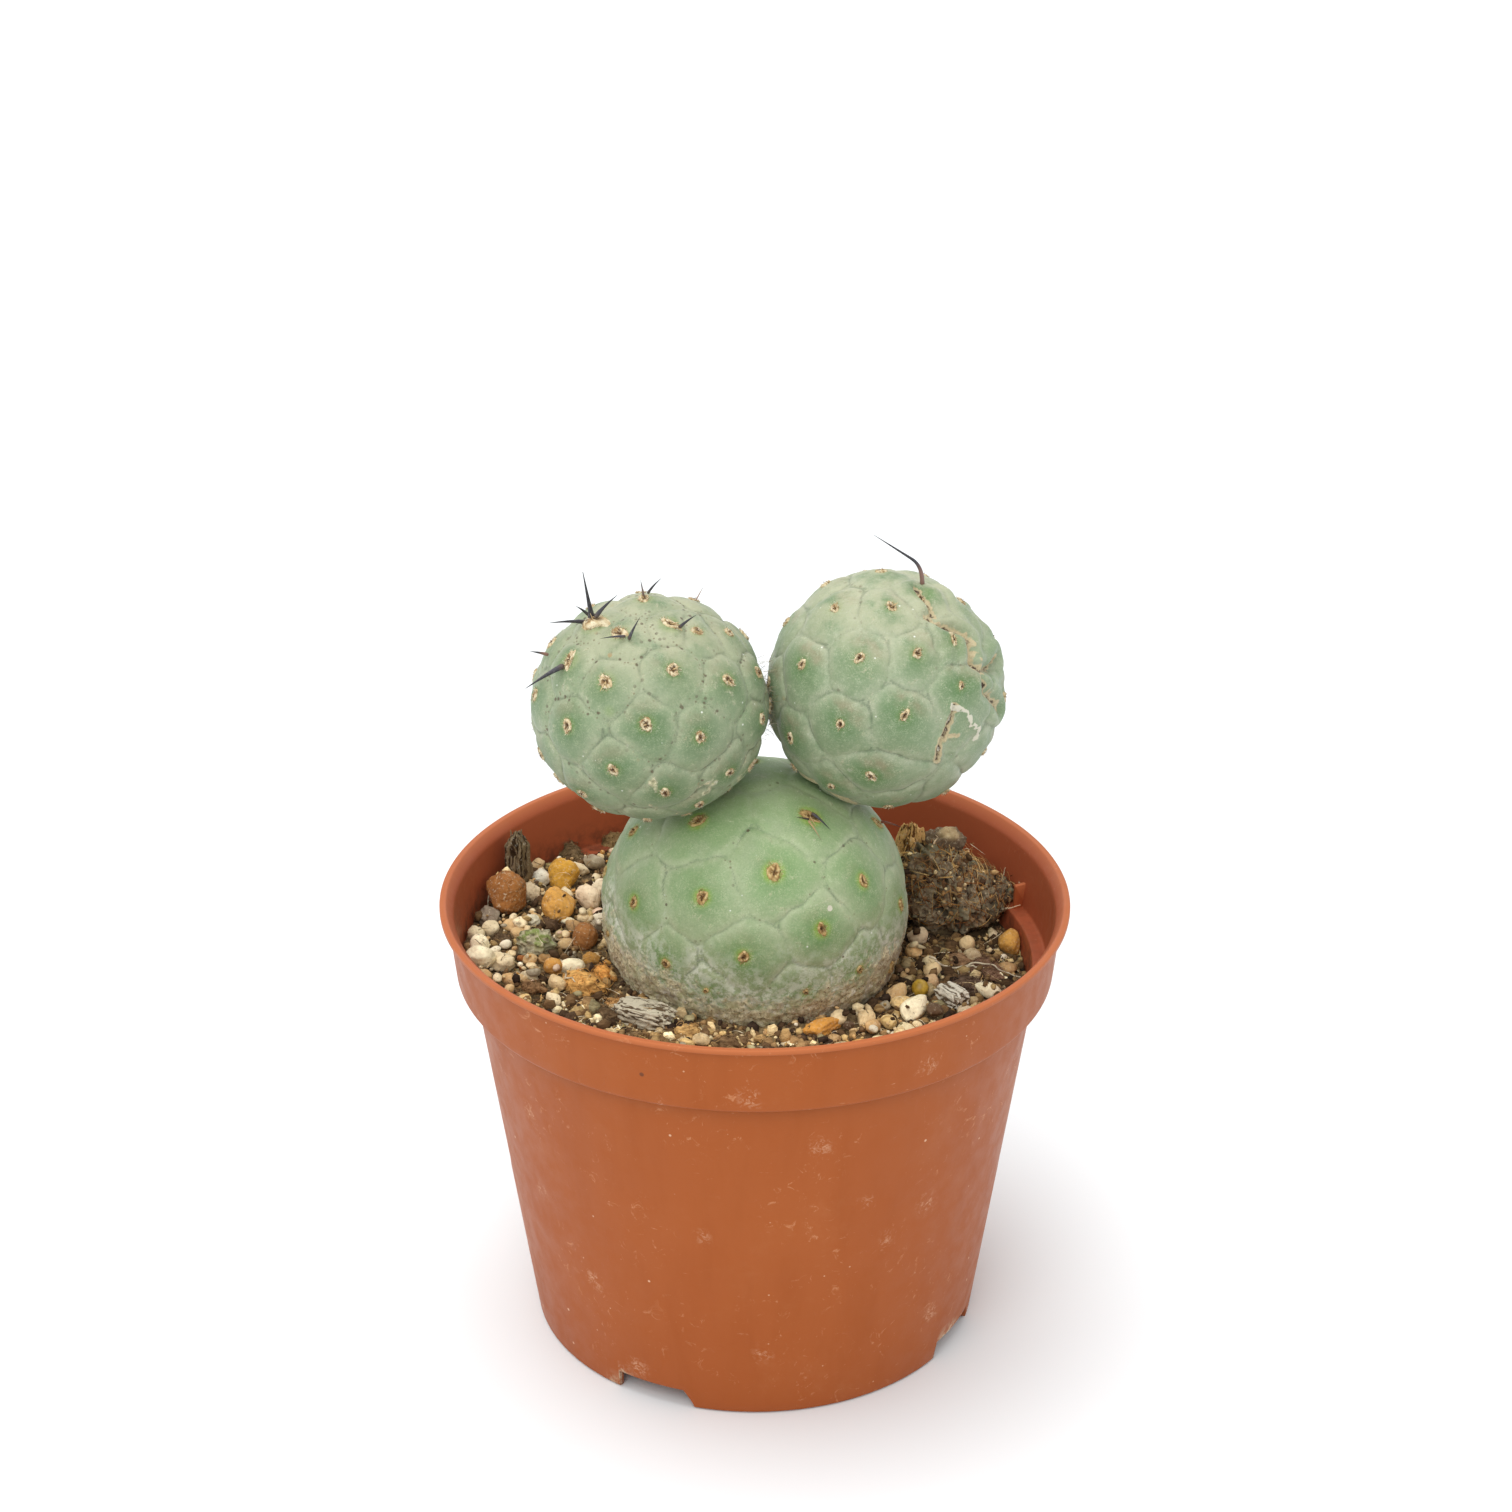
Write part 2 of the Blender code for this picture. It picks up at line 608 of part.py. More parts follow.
def lump_mesh(lump, seed, grow=0.0):
    """A rough stone or clod, part sunk into the soil."""
    half_length, half_width, half_height = (lump[k] for k in ("half_length", "half_width", "half_height"))
    rough = 0.0 if lump["kind"] == "bead" else LUMP_ROUGHNESS
    subdivisions = 3 if half_length > 0.004 else 2
    offset = Vector(random.Random(seed).uniform(-50.0, 50.0) for _ in range(3))
    long_side = lump["long_side"].to_3d()
    cross_side = Vector((-long_side.y, long_side.x, 0.0))
    x, y = lump["place"]
    centre = Vector((x, y, resting_height(lump)))
    bm = bmesh.new()
    bmesh.ops.create_icosphere(bm, subdivisions=subdivisions, radius=1.0)
    for vertex in bm.verts:
        unit = vertex.co.normalized()
        swell = 1.0 + rough * noise.noise(unit * 1.6 + offset)
        along, across, up = unit.x * half_length, unit.y * half_width, unit.z * half_height
        point = (long_side * along + cross_side * across + Vector((0.0, 0.0, up))) * swell
        vertex.co = centre + point * (1.0 + grow / point.length)
    return bm


def make_lumps(materials):
    """The stones, bark and clods, and a cutter for the hollow that each one leaves in the soil."""
    seats = []
    for seed, lump in enumerate(lay_out_lumps()):
        lump_object = add_object(lump["name"], lump_mesh(lump, seed), materials[lump["kind"]])
        if lump["kind"] == "peat":
            add_boolean(lump_object, add_object("peat_room_cutter", inside_of_pot()), "INTERSECT")
        seats.append(add_object(lump["name"] + "_seat_cutter", lump_mesh(lump, seed, grow=SEAT_GAP)))
    return seats


def main():
    clear_scene()
    materials = {name: make_material(name) for name in FINISHES}
    make_pot(materials["terracotta_plastic"])
    places = place_segments()
    make_segments(places, materials["skin"])
    seats = make_lower_seats(places) + make_lumps(materials)
    make_soil(materials["soil"], seats)
    for spec in SPINES:
        make_spine(spec, places, materials["spine"])


main()
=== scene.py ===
"""Looks of the potted round cactus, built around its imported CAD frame.

Lengths are in millimetres until add_mesh turns them into metres. The origin is the centre of the
pot's foot, +Z is up, the front faces -Y, and a heading is an angle in degrees from the front,
positive towards +X.
"""

import math

import bmesh
import bpy
import numpy as np
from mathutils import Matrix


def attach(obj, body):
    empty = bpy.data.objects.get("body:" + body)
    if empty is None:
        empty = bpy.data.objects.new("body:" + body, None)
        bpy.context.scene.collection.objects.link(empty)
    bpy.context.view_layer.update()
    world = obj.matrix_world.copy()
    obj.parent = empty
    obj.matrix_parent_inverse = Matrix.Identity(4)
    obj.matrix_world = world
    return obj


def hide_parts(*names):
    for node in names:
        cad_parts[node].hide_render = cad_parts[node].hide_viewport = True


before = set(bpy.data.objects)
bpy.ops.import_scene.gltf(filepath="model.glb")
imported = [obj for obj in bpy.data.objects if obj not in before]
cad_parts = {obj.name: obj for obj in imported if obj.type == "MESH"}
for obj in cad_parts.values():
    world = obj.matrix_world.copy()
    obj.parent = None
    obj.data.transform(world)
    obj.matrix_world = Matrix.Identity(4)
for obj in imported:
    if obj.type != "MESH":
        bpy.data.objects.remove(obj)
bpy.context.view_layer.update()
MM = 0.001

# Pot: outer radii and heights.
POT_HEIGHT, RIM_RADIUS, FOOT_RADIUS, WALL = 77.8, 52.5, 37.9, 1.1
COLLAR_FOOT, COLLAR_TOP, BODY_TOP_RADIUS = 50.0, 51.4, 47.5
BODY_TOP, LEDGE, LIP_FOOT = 65.2, 66.3, 76.9
FLOOR_LOW, FLOOR_HIGH = 4.0, 5.3
NOTCH_HEADINGS = (-26.0, 64.0, 154.0, -116.0)
NOTCH_HALF, NOTCH_RISE, NOTCH_SLANT = 6.9, 3.4, 1.7
LUG_HEADING = 110.0

# Soil surface: its height at the middle, its fall towards +X, and its roughness.
SOIL_LEVEL, SOIL_SLOPE = 65.0, 0.05

# Areoles that face the front: heading, height (both on the round segment), length, width, and the
# turn of the long side from the upright.
LEFT_AREOLES = (
    (-69, 62, 4.4, 3.2, 80), (-30, 63, 3.0, 2.5, 0), (-56, 40, 3.4, 1.6, 8), (32, 69, 3.8, 1.5, -15),
    (-153, 85, 3.2, 1.8, 60), (136, 58, 2.9, 1.6, 80), (85, 48, 2.0, 1.5, 0), (-24, 36, 2.8, 2.0, 5),
    (17, 43, 2.3, 2.1, 0), (50, 31, 2.5, 1.6, 12), (-41, 10, 2.7, 1.6, 4), (0, 17, 2.6, 1.7, -4),
    (26, 8, 2.2, 1.5, -3), (69, 3, 2.3, 1.4, 0), (-74, 14, 2.3, 1.4, 6), (-69, -17, 2.2, 1.3, 10),
    (-16, -8, 2.2, 1.5, 0), (9, -22, 1.9, 1.6, 0), (45, -18, 1.8, 1.5, 40), (-39, -31, 1.8, 1.5, 0),
    (55, 60, 2.0, 1.5, 20),
)
RIGHT_AREOLES = (
    (-54, 58, 2.1, 1.4, 60), (5, 65, 2.2, 1.5, 70), (-96, 34, 1.8, 1.2, 0), (-52, 27, 1.8, 1.4, 0),
    (-17, 37, 2.0, 1.5, 0), (18, 39, 2.1, 1.3, 8), (-23, 5, 1.8, 1.3, 0), (8, 11, 2.1, 1.3, 0),
    (-54, -11, 2.3, 1.3, 12), (-8, -22, 2.2, 1.4, 70), (45, 41, 2.2, 1.0, 30), (39, 20, 1.4, 0.9, 0),
    (3, -52, 1.8, 1.3, 0), (53, -49, 1.6, 1.2, 0), (54, 68, 3.0, 1.3, 28),
)
LOWER_AREOLES = (
    (9, 40, 3.4, 2.3, 4), (-22, 29, 2.6, 1.9, 8), (-54, 18, 2.4, 1.4, 0), (51, 28, 2.6, 1.6, 14),
    (26, 16, 2.5, 1.4, 6), (-4, 8, 2.2, 1.7, 0), (-34, 0, 1.7, 1.4, 0), (-41, 57, 3.2, 1.9, -36),
    (43, 59, 4.0, 2.0, 40), (-80, 38, 2.4, 1.4, -10), (89, 38, 2.8, 1.8, 30), (71, 9, 2.2, 1.2, 0),
    (42, -5, 1.5, 1.2, 0), (19, -8, 1.0, 0.8, 0), (-18, -7, 0.9, 0.8, 0), (-73, -4, 1.3, 1.0, 0),
)

# The three segments: centre, half sizes (the lower one is deeper below its middle), axis, areoles
# in front, number of areoles, rise of a cell above its grooves, and reach of the green round an areole.
SEGMENTS = {
    "lower_segment": dict(
        centre=(0.0, 2.6, 74.6), half=(25.7, 25.7, 24.3), deep=28.0, axis=(0.0, 0.0, 1.0),
        areoles=LOWER_AREOLES, count=66, rise=0.36, seed=31, halo=2.5,
    ),
    "left_segment": dict(
        centre=(-16.99, -1.95, 112.76), half=(19.4, 19.4, 18.2), deep=18.2, axis=(-0.404, -0.108, 0.908),
        areoles=LEFT_AREOLES, count=62, rise=0.74, seed=32, halo=2.4,
    ),
    "right_segment": dict(
        centre=(21.12, 5.95, 112.39), half=(19.3, 19.3, 19.8), deep=19.8, axis=(0.486, 0.077, 0.870),
        areoles=RIGHT_AREOLES, count=56, rise=0.66, seed=33, halo=2.9,
    ),
}
for name, spec in SEGMENTS.items():
    spec["name"] = name
    spec.update({key: np.array(spec[key]) for key in ("centre", "half", "axis")})

# Corky marks on the right segment, as lines of headings and heights.
CROWN_CRACK = ((62, 73), (52, 67), (49, 62), (46, 57), (38, 57), (43, 51), (52, 47), (58, 43), (61, 38))
SIDE_CRACK = ((60, 38), (56, 31), (53, 27), (57, 22), (55, 17), (56, 13), (61, 8), (67, 3), (72, -3))
CRACK_BRANCH = ((57, 22), (65, 20), (74, 18), (82, 19))
UPRIGHT_SCAR = ((34, 12), (33, 8), (31, 4), (29, -2), (27, -7), (26, -10), (27, -16))
SCAR_SPUR = ((29, -2), (36, -4))
WHITE_SCAR = ((33, 11), (40, 9), (42, 3), (45, 0), (50, -3), (51, -10))
JOINT_SCAB = ((-62, -38), (-56, -42), (-45, -45), (-37, -52), (-31, -59))


# ---------------------------------------------------------------- numbers

def unit(vectors):
    return vectors / np.linalg.norm(vectors, axis=-1, keepdims=True)


def heading_vector(heading, height=0.0):
    turn, rise = np.radians(heading), np.radians(height)
    return np.stack([np.sin(turn) * np.cos(rise), -np.cos(turn) * np.cos(rise), np.sin(rise) + 0.0 * turn], -1)


def ramp(values, low, high):
    """Smooth 0 to 1 as the values go from low to high."""
    share = np.clip((values - low) / (high - low), 0.0, 1.0)
    return share * share * (3.0 - 2.0 * share)


def waves(points, size, seed, count=18):
    """Smooth random values, mostly between -1 and 1, that change over about one size."""
    rng = np.random.default_rng(seed)
    steps = unit(rng.normal(size=(count, 3))) * (2.0 * np.pi / size * rng.uniform(0.6, 1.4, (count, 1)))
    return np.sin(points @ steps.T + rng.uniform(0.0, 2.0 * np.pi, count)).sum(-1) * math.sqrt(0.5 / count)


def fractal(points, size, seed, octaves=3, fade=0.5):
    return sum(fade**k * waves(points, size / 2.1**k, seed + 7 * k) for k in range(octaves))


def srgb(*tones):
    """Linear colours from one red, green and blue, or from several such triples."""
    channels = np.array(tones) / 255.0
    return np.where(channels <= 0.04045, channels / 12.92, ((channels + 0.055) / 1.055) ** 2.4)


def blend(a, b, share):
    return a * (1.0 - share) + b * share


def polar(radius, turn, z):
    """Points at a distance from the upright axis, a turn (radians) from the front and a height."""
    return np.stack([radius * np.sin(turn), -radius * np.cos(turn), z + 0.0 * turn], -1)


def grid_quads(index):
    """Quads between the neighbouring rows and columns of a grid of point numbers."""
    return np.stack([index[:-1, :-1], index[1:, :-1], index[1:, 1:], index[:-1, 1:]], -1).reshape(-1, 4)


def ring_quads(index):
    """The same for rows that close on themselves."""
    return grid_quads(np.hstack([index, index[:, :1]]))


def triangles(quads):
    return np.concatenate([quads[:, :3], quads[:, [0, 2, 3]]])


def sphere_grid(n):
    """Outward unit directions and quads of a cube blown up to a ball, with n faces along a side."""
    t = np.tan(np.linspace(-np.pi / 4.0, np.pi / 4.0, n + 1))
    a, b = (g.ravel() for g in np.meshgrid(t, t, indexing="ij"))
    one = np.ones_like(a)
    quads = grid_quads(np.arange((n + 1) ** 2).reshape(n + 1, n + 1))
    sides = ((one, a, b), (-one, b, a), (b, one, a), (a, -one, b), (a, b, one), (b, a, -one))
    points = np.concatenate([np.stack(side, -1) for side in sides])
    faces = np.concatenate([quads + k * len(one) for k in range(6)])
    _, first, back = np.unique(np.round(points, 6), axis=0, return_index=True, return_inverse=True)
    return unit(points[first]), back.reshape(-1)[faces]


def ball(subdivisions):
    """Directions and triangles of an icosphere."""
    bm = bmesh.new()
    bmesh.ops.create_icosphere(bm, subdivisions=subdivisions, radius=1.0)
    points = np.array([v.co for v in bm.verts])
    faces = np.array([[v.index for v in f.verts] for f in bm.faces])
    bm.free()
    return unit(points), faces


# ---------------------------------------------------------------- meshes

def add_mesh(name, points, faces, material, flat=False, **layers):
    """An object from points in millimetres and its triangles or quads, with one attribute a layer."""
    mesh = bpy.data.meshes.new(name)
    mesh.vertices.add(len(points))
    mesh.vertices.foreach_set("co", (points * MM).astype(np.float32).ravel())
    mesh.loops.add(faces.size)
    mesh.polygons.add(len(faces))
    mesh.polygons.foreach_set("loop_start", np.arange(0, faces.size, faces.shape[1], dtype=np.int32))
    mesh.polygons.foreach_set("vertices", faces.astype(np.int32).ravel())
    mesh.update(calc_edges=True)
    for key, values in layers.items():
        values = np.asarray(values, np.float32)
        if values.ndim == 1:
            mesh.attributes.new(key, "FLOAT", "POINT").data.foreach_set("value", values)
        else:
            rgba = np.concatenate([values, np.ones((len(values), 1), np.float32)], 1)
            mesh.attributes.new(key, "FLOAT_COLOR", "POINT").data.foreach_set("color", rgba.ravel())
    if not flat:
        mesh.shade_smooth()
    mesh.materials.append(material)
    obj = bpy.data.objects.new(name, mesh)
    bpy.context.scene.collection.objects.link(obj)
    return obj


def add_piece(obj, slot, *nodes):
    """Makes the object a piece of the cactus that stands for nodes; the slot is not used."""
    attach(obj, "root")
    if nodes:
        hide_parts(*nodes)


class Pile:
    """Many small triangle meshes that become one object."""

    def __init__(self):
        self.points, self.faces, self.tints, self.count = [], [], [], 0

    def add(self, points, faces, tint):
        self.points.append(points)
        self.faces.append(faces + self.count)
        self.tints.append(np.broadcast_to(np.asarray(tint, float), (len(points), 3)))
        self.count += len(points)

    def add_hairs(self, base, tip, bend, width, tints, steps=2):
        points, faces = hairs(base, tip, bend, width, steps)
        self.add(points, faces, np.repeat(tints, 3 * steps + 3, 0))

    def build(self, name, slot, material, flat=False):
        points, faces, tints = (np.concatenate(part) for part in (self.points, self.faces, self.tints))
        add_piece(add_mesh(name, points, faces, material, flat, tint=tints), slot)


def hairs(base, tip, bend, width, steps):
    """Thin three-sided hairs that taper from base to tip, as points and triangles."""
    along = tip - base
    side = unit(np.cross(along, (0.31, 0.52, 0.79)))
    other = unit(np.cross(along, side))
    rings = []
    for k in range(steps + 1):
        t = k / steps
        centre = base + along * t + bend * (4.0 * t * (1.0 - t))
        radius = (width * 0.5 * (1.0 - 0.8 * t))[:, None]
        for j in range(3):
            angle = 2.0 * math.pi * j / 3.0
            rings.append(centre + (side * math.cos(angle) + other * math.sin(angle)) * radius)
    points = np.stack(rings, 1)
    faces = [(0, 2, 1), (3 * steps, 3 * steps + 1, 3 * steps + 2)]
    for k in range(steps):
        for j in range(3):
            a, b = 3 * k + j, 3 * k + (j + 1) % 3
            faces += [(a, b, b + 3), (a, b + 3, a + 3)]
    faces = np.array(faces)[None] + (np.arange(len(base)) * points.shape[1])[:, None, None]
    return points.reshape(-1, 3), faces.reshape(-1, 3)


def tube(path, radii, sides=10):
    """A closed round tube along a path, as points and triangles."""
    path, radii = np.asarray(path, float), np.asarray(radii, float)
    along = unit(np.gradient(path, axis=0))
    side = unit(np.cross(along, (0.13, 0.92, 0.36)))
    other = np.cross(along, side)
    angles = np.arange(sides) * 2.0 * math.pi / sides
    rim = side[:, None] * np.cos(angles)[None, :, None] + other[:, None] * np.sin(angles)[None, :, None]
    points = (path[:, None] + rim * radii[:, None, None]).reshape(-1, 3)
    points = np.concatenate([points, path[:1], path[-1:]])
    faces = []
    last = (len(path) - 1) * sides
    for j in range(sides):
        i = (j + 1) % sides
        for k in range(len(path) - 1):
            a, b = k * sides + j, k * sides + i
            faces += [(a, b, b + sides), (a, b + sides, a + sides)]
        faces += [(i, j, len(points) - 2), (last + j, last + i, len(points) - 1)]
    return points, np.array(faces)


# ---------------------------------------------------------------- materials

class Look:
    """A material under construction. Most methods add one node and return its output."""

    def __init__(self, name, roughness=0.6, specular=0.4):
        self.material = bpy.data.materials.new(name)
        self.material.use_nodes = True
        self.tree = self.material.node_tree
        self.shader = self.tree.nodes["Principled BSDF"]
        self.shader.inputs["Roughness"].default_value = roughness
        self.shader.inputs["Specular IOR Level"].default_value = specular
        self.place = self.node("TexCoord").outputs["Object"]
        self.colour = None

    def node(self, kind, inputs=None, **settings):
        made = self.tree.nodes.new("ShaderNode" + kind)
        for key, value in settings.items():
            setattr(made, key, value)
        for key, value in (inputs or {}).items():
            if isinstance(value, bpy.types.NodeSocket):
                self.tree.links.new(value, made.inputs[key])
            elif made.inputs[key].type == "RGBA":
                made.inputs[key].default_value = (*value, 1.0)
            else:
                made.inputs[key].default_value = value
        return made

    def layer(self, name, colour=False):
        return self.node("Attribute", attribute_name=name).outputs["Color" if colour else "Fac"]

    def stretched(self, x, y, z):
        inputs = {"Vector": self.place, "Scale": (x, y, z)}
        return self.node("Mapping", inputs).outputs["Vector"]

    def noise(self, size, detail=3.0, roughness=0.6, distortion=0.0, place=None):
        inputs = {
            "Vector": place or self.place, "Scale": 1.0 / (size * MM), "Detail": detail,
            "Roughness": roughness, "Distortion": distortion,
        }
        return self.node("TexNoise", inputs).outputs["Fac"]

    def cells(self, size, output="Distance"):
        return self.node("TexVoronoi", {"Vector": self.place, "Scale": 1.0 / (size * MM)}).outputs[output]

    def between(self, value, low, high, bottom=0.0, top=1.0):
        inputs = {"Value": value, "From Min": low, "From Max": high, "To Min": bottom, "To Max": top}
        return self.node("MapRange", inputs, interpolation_type="SMOOTHSTEP").outputs["Result"]

    def maths(self, operation, a, b):
        return self.node("Math", {0: a, 1: b}, operation=operation).outputs[0]

    def times(self, *values):
        result = values[0]
        for value in values[1:]:
            result = self.maths("MULTIPLY", result, value)
        return result

    def mix(self, share, a, b, blend="MIX"):
        inputs = {0: share, 6: a, 7: b}
        return self.node("Mix", inputs, data_type="RGBA", blend_type=blend, clamp_factor=True).outputs[2]

    def patches(self, low, high, *noise):
        """Smooth patches where a noise (its size, detail and so on) is past low, in full from high."""
        return self.between(self.noise(*noise), low, high)

    def paint(self, tone, *shares):
        """Lays a colour, 0 to 255 or a layer's, over the colour so far, by the product of the shares."""
        tone = srgb(*tone) if isinstance(tone, tuple) else tone
        self.colour = self.mix(self.times(*shares), self.colour, tone)

    def spots(self, size, radius, share):
        """Round spots of a radius (share of their spacing) in a share of the cells."""
        chance = self.node("SeparateColor", {0: self.cells(size, "Color")}).outputs[0]
        inside = self.between(self.cells(size), radius, radius * 0.55)
        return self.times(inside, self.maths("LESS_THAN", chance, share))

    def finish(self, *bumps, roughness=None):
        """Links the colour, and bumps given as (height, millimetres, strength)."""
        self.tree.links.new(self.colour, self.shader.inputs["Base Color"])
        normal = {}
        for height, depth, strength in bumps:
            inputs = {"Height": height, "Distance": depth * MM, "Strength": strength, **normal}
            normal = {"Normal": self.node("Bump", inputs).outputs["Normal"]}
        if normal:
            self.tree.links.new(normal["Normal"], self.shader.inputs["Normal"])
        if roughness is not None:
            self.tree.links.new(roughness, self.shader.inputs["Roughness"])
        return self.material


def pot_look():
    look = Look("terracotta_plastic", 0.48, 0.26)
    look.shader.inputs["Specular Tint"].default_value = (1.0, 0.84, 0.55, 1.0)
    streaks = look.noise(6.0, 4.0, 0.6, 0.3, look.stretched(1.0, 1.0, 0.16))
    look.colour = look.mix(look.noise(26.0, 2.0), srgb(154, 76, 33), srgb(162, 85, 40))
    look.paint((142, 66, 20), look.between(streaks, 0.45, 0.75), 0.25)
    # Chalky dust in soft patches, and small pale scuffs and fine scratches.
    look.paint((196, 140, 100), look.patches(0.56, 0.78, 13.0, 5.0, 0.7), look.noise(1.1, 2.0), 0.16)
    smudge = look.patches(0.58, 0.68, 2.6, 5.0, 0.75, 1.2)
    where = look.patches(0.46, 0.56, 15.0, 1.0)
    look.paint((204, 144, 104), smudge, where, 0.50)
    look.paint((226, 184, 150), look.layer("scuff"), look.patches(0.48, 0.62, 1.1, 5.0, 0.8, 0.8), 0.50)
    # Painted shade: the body is darkened just under the collar's step.
    look.paint((96, 44, 16), look.layer("under"), 0.55)
    scratch = look.patches(0.67, 0.75, 0.9, 3.0, 0.7, 0.0, look.stretched(0.25, 0.25, 1.6))
    look.paint((214, 162, 126), scratch, look.patches(0.48, 0.62, 9.0, 2.0), 0.45)
    look.paint((92, 52, 36), look.spots(9.0, 0.055, 0.12), 0.8)
    look.paint((226, 190, 158), look.spots(4.5, 0.075, 0.22), 0.7)
    look.paint((216, 176, 140), look.spots(2.2, 0.09, 0.16), where, 0.6)
    # The chalky residue at the drainage notches and soil dust on the inside.
    look.paint((206, 190, 160), look.layer("chalk"), look.patches(0.40, 0.62, 1.6, 4.0, 0.7), 0.85)
    # Painted light: the inner surfaces are made paler against the shade inside the pot.
    look.paint((166, 84, 58), look.layer("inner"), 0.75)
    look.paint((78, 48, 36), look.layer("grime"), look.patches(0.38, 0.66, 2.2, 5.0, 0.7), 0.7)
    # The rim of the lip is painted paler.
    look.paint((192, 112, 72), look.layer("worn"), 0.60)
    rough = look.between(look.noise(4.0, 4.0), 0.3, 0.7, 0.40, 0.54)
    return look.finish((look.noise(0.7, 2.0), 0.05, 0.25), (streaks, 0.12, 0.2), (smudge, 0.03, 0.4), roughness=rough)


def skin_look(name, tones, scale, speckle=0.0, rust=0.0, yellow=0.0, tinged=0.5, painted_top_light=0.7,
              top_light_tone=(222, 222, 200)):
    """Waxy cactus skin. tones holds the colours pale, green, halo, bloom and line, the last being the painted shade of
    the grooves.
    """
    pale, green, halo, bloom, line = srgb(*tones) * scale
    look = Look(name, 0.52, 0.38)
    for key, value in (("Sheen Weight", 0.10), ("Sheen Roughness", 0.5), ("Subsurface Weight", 0.06),
                       ("Subsurface Radius", (0.8, 1.0, 0.5)), ("Subsurface Scale", 0.001)):
        look.shader.inputs[key].default_value = value
    dots = look.noise(0.30, 3.0, 0.75)
    look.colour = look.mix(look.patches(0.36, 0.66, 9.0, 4.0, 0.6), pale, green)
    look.paint(halo, look.layer("halo"))
    look.paint(bloom, look.layer("shoulder"), look.patches(0.25, 0.65, 3.0, 4.0), 0.95)
    look.paint(srgb(176, 162, 140) * scale, look.layer("tinge"), look.patches(0.30, 0.62, 2.6, 3.0), tinged)
    # Painted light: skin that faces up is painted paler, as if lit from above.
    look.paint(srgb(*top_light_tone) * scale, look.layer("crown"), look.patches(0.30, 0.60, 4.5, 4.0, 0.6), painted_top_light)
    look.paint((228, 232, 218), look.layer("dust"), look.patches(0.42, 0.58, 1.6, 5.0, 0.8))
    # Painted shade: the grooves between the cells are painted as darker lines.
    look.paint(line, look.layer("line"), 0.72)
    look.paint((150, 176, 62), look.layer("rim"), yellow)
    look.paint(bloom, look.between(dots, 0.50, 0.66), 0.40)
    look.paint((80, 106, 76), look.between(dots, 0.46, 0.30), 0.26)
    flour = look.times(look.patches(0.44, 0.62, 1.5, 5.0, 0.7), look.patches(0.50, 0.60, 0.18, 1.0))
    look.paint(1.25 * bloom, flour, 0.42)
    bits = look.layer("bits")
    look.paint((82, 68, 48), look.spots(1.20, 0.31, speckle), bits, 0.85)
    look.paint((104, 88, 60), look.spots(0.80, 0.28, speckle), bits, 0.65)
    if rust:
        look.paint((164, 128, 82), look.spots(2.3, 0.22, rust), bits, 0.65)
    look.paint((228, 232, 220), look.spots(2.1, 0.10, 0.14), 0.8)
    # Cork: mottled grey, tan and brown, rough, over the skin.
    skin = look.colour
    grain = look.noise(0.75, 5.0, 0.75)
    look.colour = look.mix(look.between(grain, 0.34, 0.60), srgb(150, 130, 84), srgb(240, 232, 194))
    look.paint((188, 186, 142), look.patches(0.46, 0.66, 3.4, 3.0))
    look.paint((244, 242, 224), look.patches(0.54, 0.66, 2.4, 4.0, 0.7), 0.8)
    look.paint((104, 78, 50), look.patches(0.62, 0.70, 0.45, 2.0))
    near_soil = look.between(look.layer("cork"), 0.55, 0.95)
    look.paint((132, 106, 68), near_soil, look.patches(0.42, 0.62, 2.8, 4.0, 0.65), 0.6)
    patchy = look.maths("ADD", look.times(grain, 0.8), look.times(look.noise(3.0, 4.0, 0.65), 1.5))
    ragged = look.maths("ADD", look.layer("cork"), look.maths("SUBTRACT", patchy, 1.15))
    corky = look.times(look.between(ragged, 0.16, 0.86), 0.92)
    look.colour = look.mix(corky, skin, look.colour)
    look.paint((116, 92, 84), look.layer("violet"), look.patches(0.3, 0.6, 2.2, 3.0), 0.4)
    # Scars: tan edges round a dark split, and a whitish crust.
    scar = look.layer("scar")
    look.paint(look.mix(grain, srgb(134, 108, 66), srgb(230, 220, 180)), look.between(scar, 0.25, 0.60))
    look.paint((66, 46, 32), look.between(scar, 0.80, 0.97), look.between(grain, 0.62, 0.45))
    crust = look.maths("ADD", look.layer("crust"), look.times(look.maths("SUBTRACT", grain, 0.5), 0.8))
    look.paint((204, 200, 180), look.between(crust, 0.50, 0.66))
    return look.finish(
        (dots, 0.05, 0.35), (grain, 0.12, 0.15), (look.times(grain, corky), 0.35, 0.9),
        (look.times(grain, scar), 0.40, 0.8), roughness=look.between(corky, 0.0, 1.0, 0.52, 0.85),
    )


def tinted(name, roughness, specular, gain):
    """A look that starts from each piece's own tint, made brighter by a gain."""
    look = Look(name, roughness, specular)
    look.colour = look.mix(1.0, look.layer("tint", colour=True), gain, "MULTIPLY")
    return look


def stone_look():
    """Grit of every size: each stone's own tint, mottled, pitted and dusty."""
    look = tinted("stone", 0.88, 0.25, (1.30, 1.30, 1.28))
    tint = look.colour
    grain = look.noise(0.55, 5.0, 0.72)
    mottled = look.mix(0.30, tint, srgb(150, 120, 90), "MULTIPLY")
    look.colour = look.mix(look.patches(0.38, 0.64, 2.0, 4.0, 0.65), mottled, tint)
    look.paint((232, 218, 188), look.between(grain, 0.52, 0.72), 0.55)
    pits = look.between(look.cells(0.62), 0.30, 0.10)
    look.paint((110, 84, 58), pits, look.between(grain, 0.46, 0.62), 0.55)
    look.paint((96, 74, 52), look.patches(0.56, 0.72, 3.1, 4.0, 0.7), look.between(grain, 0.36, 0.60), 0.72)
    return look.finish((grain, 0.16, 0.8), (look.times(pits, -1.0), 0.10, 0.7))


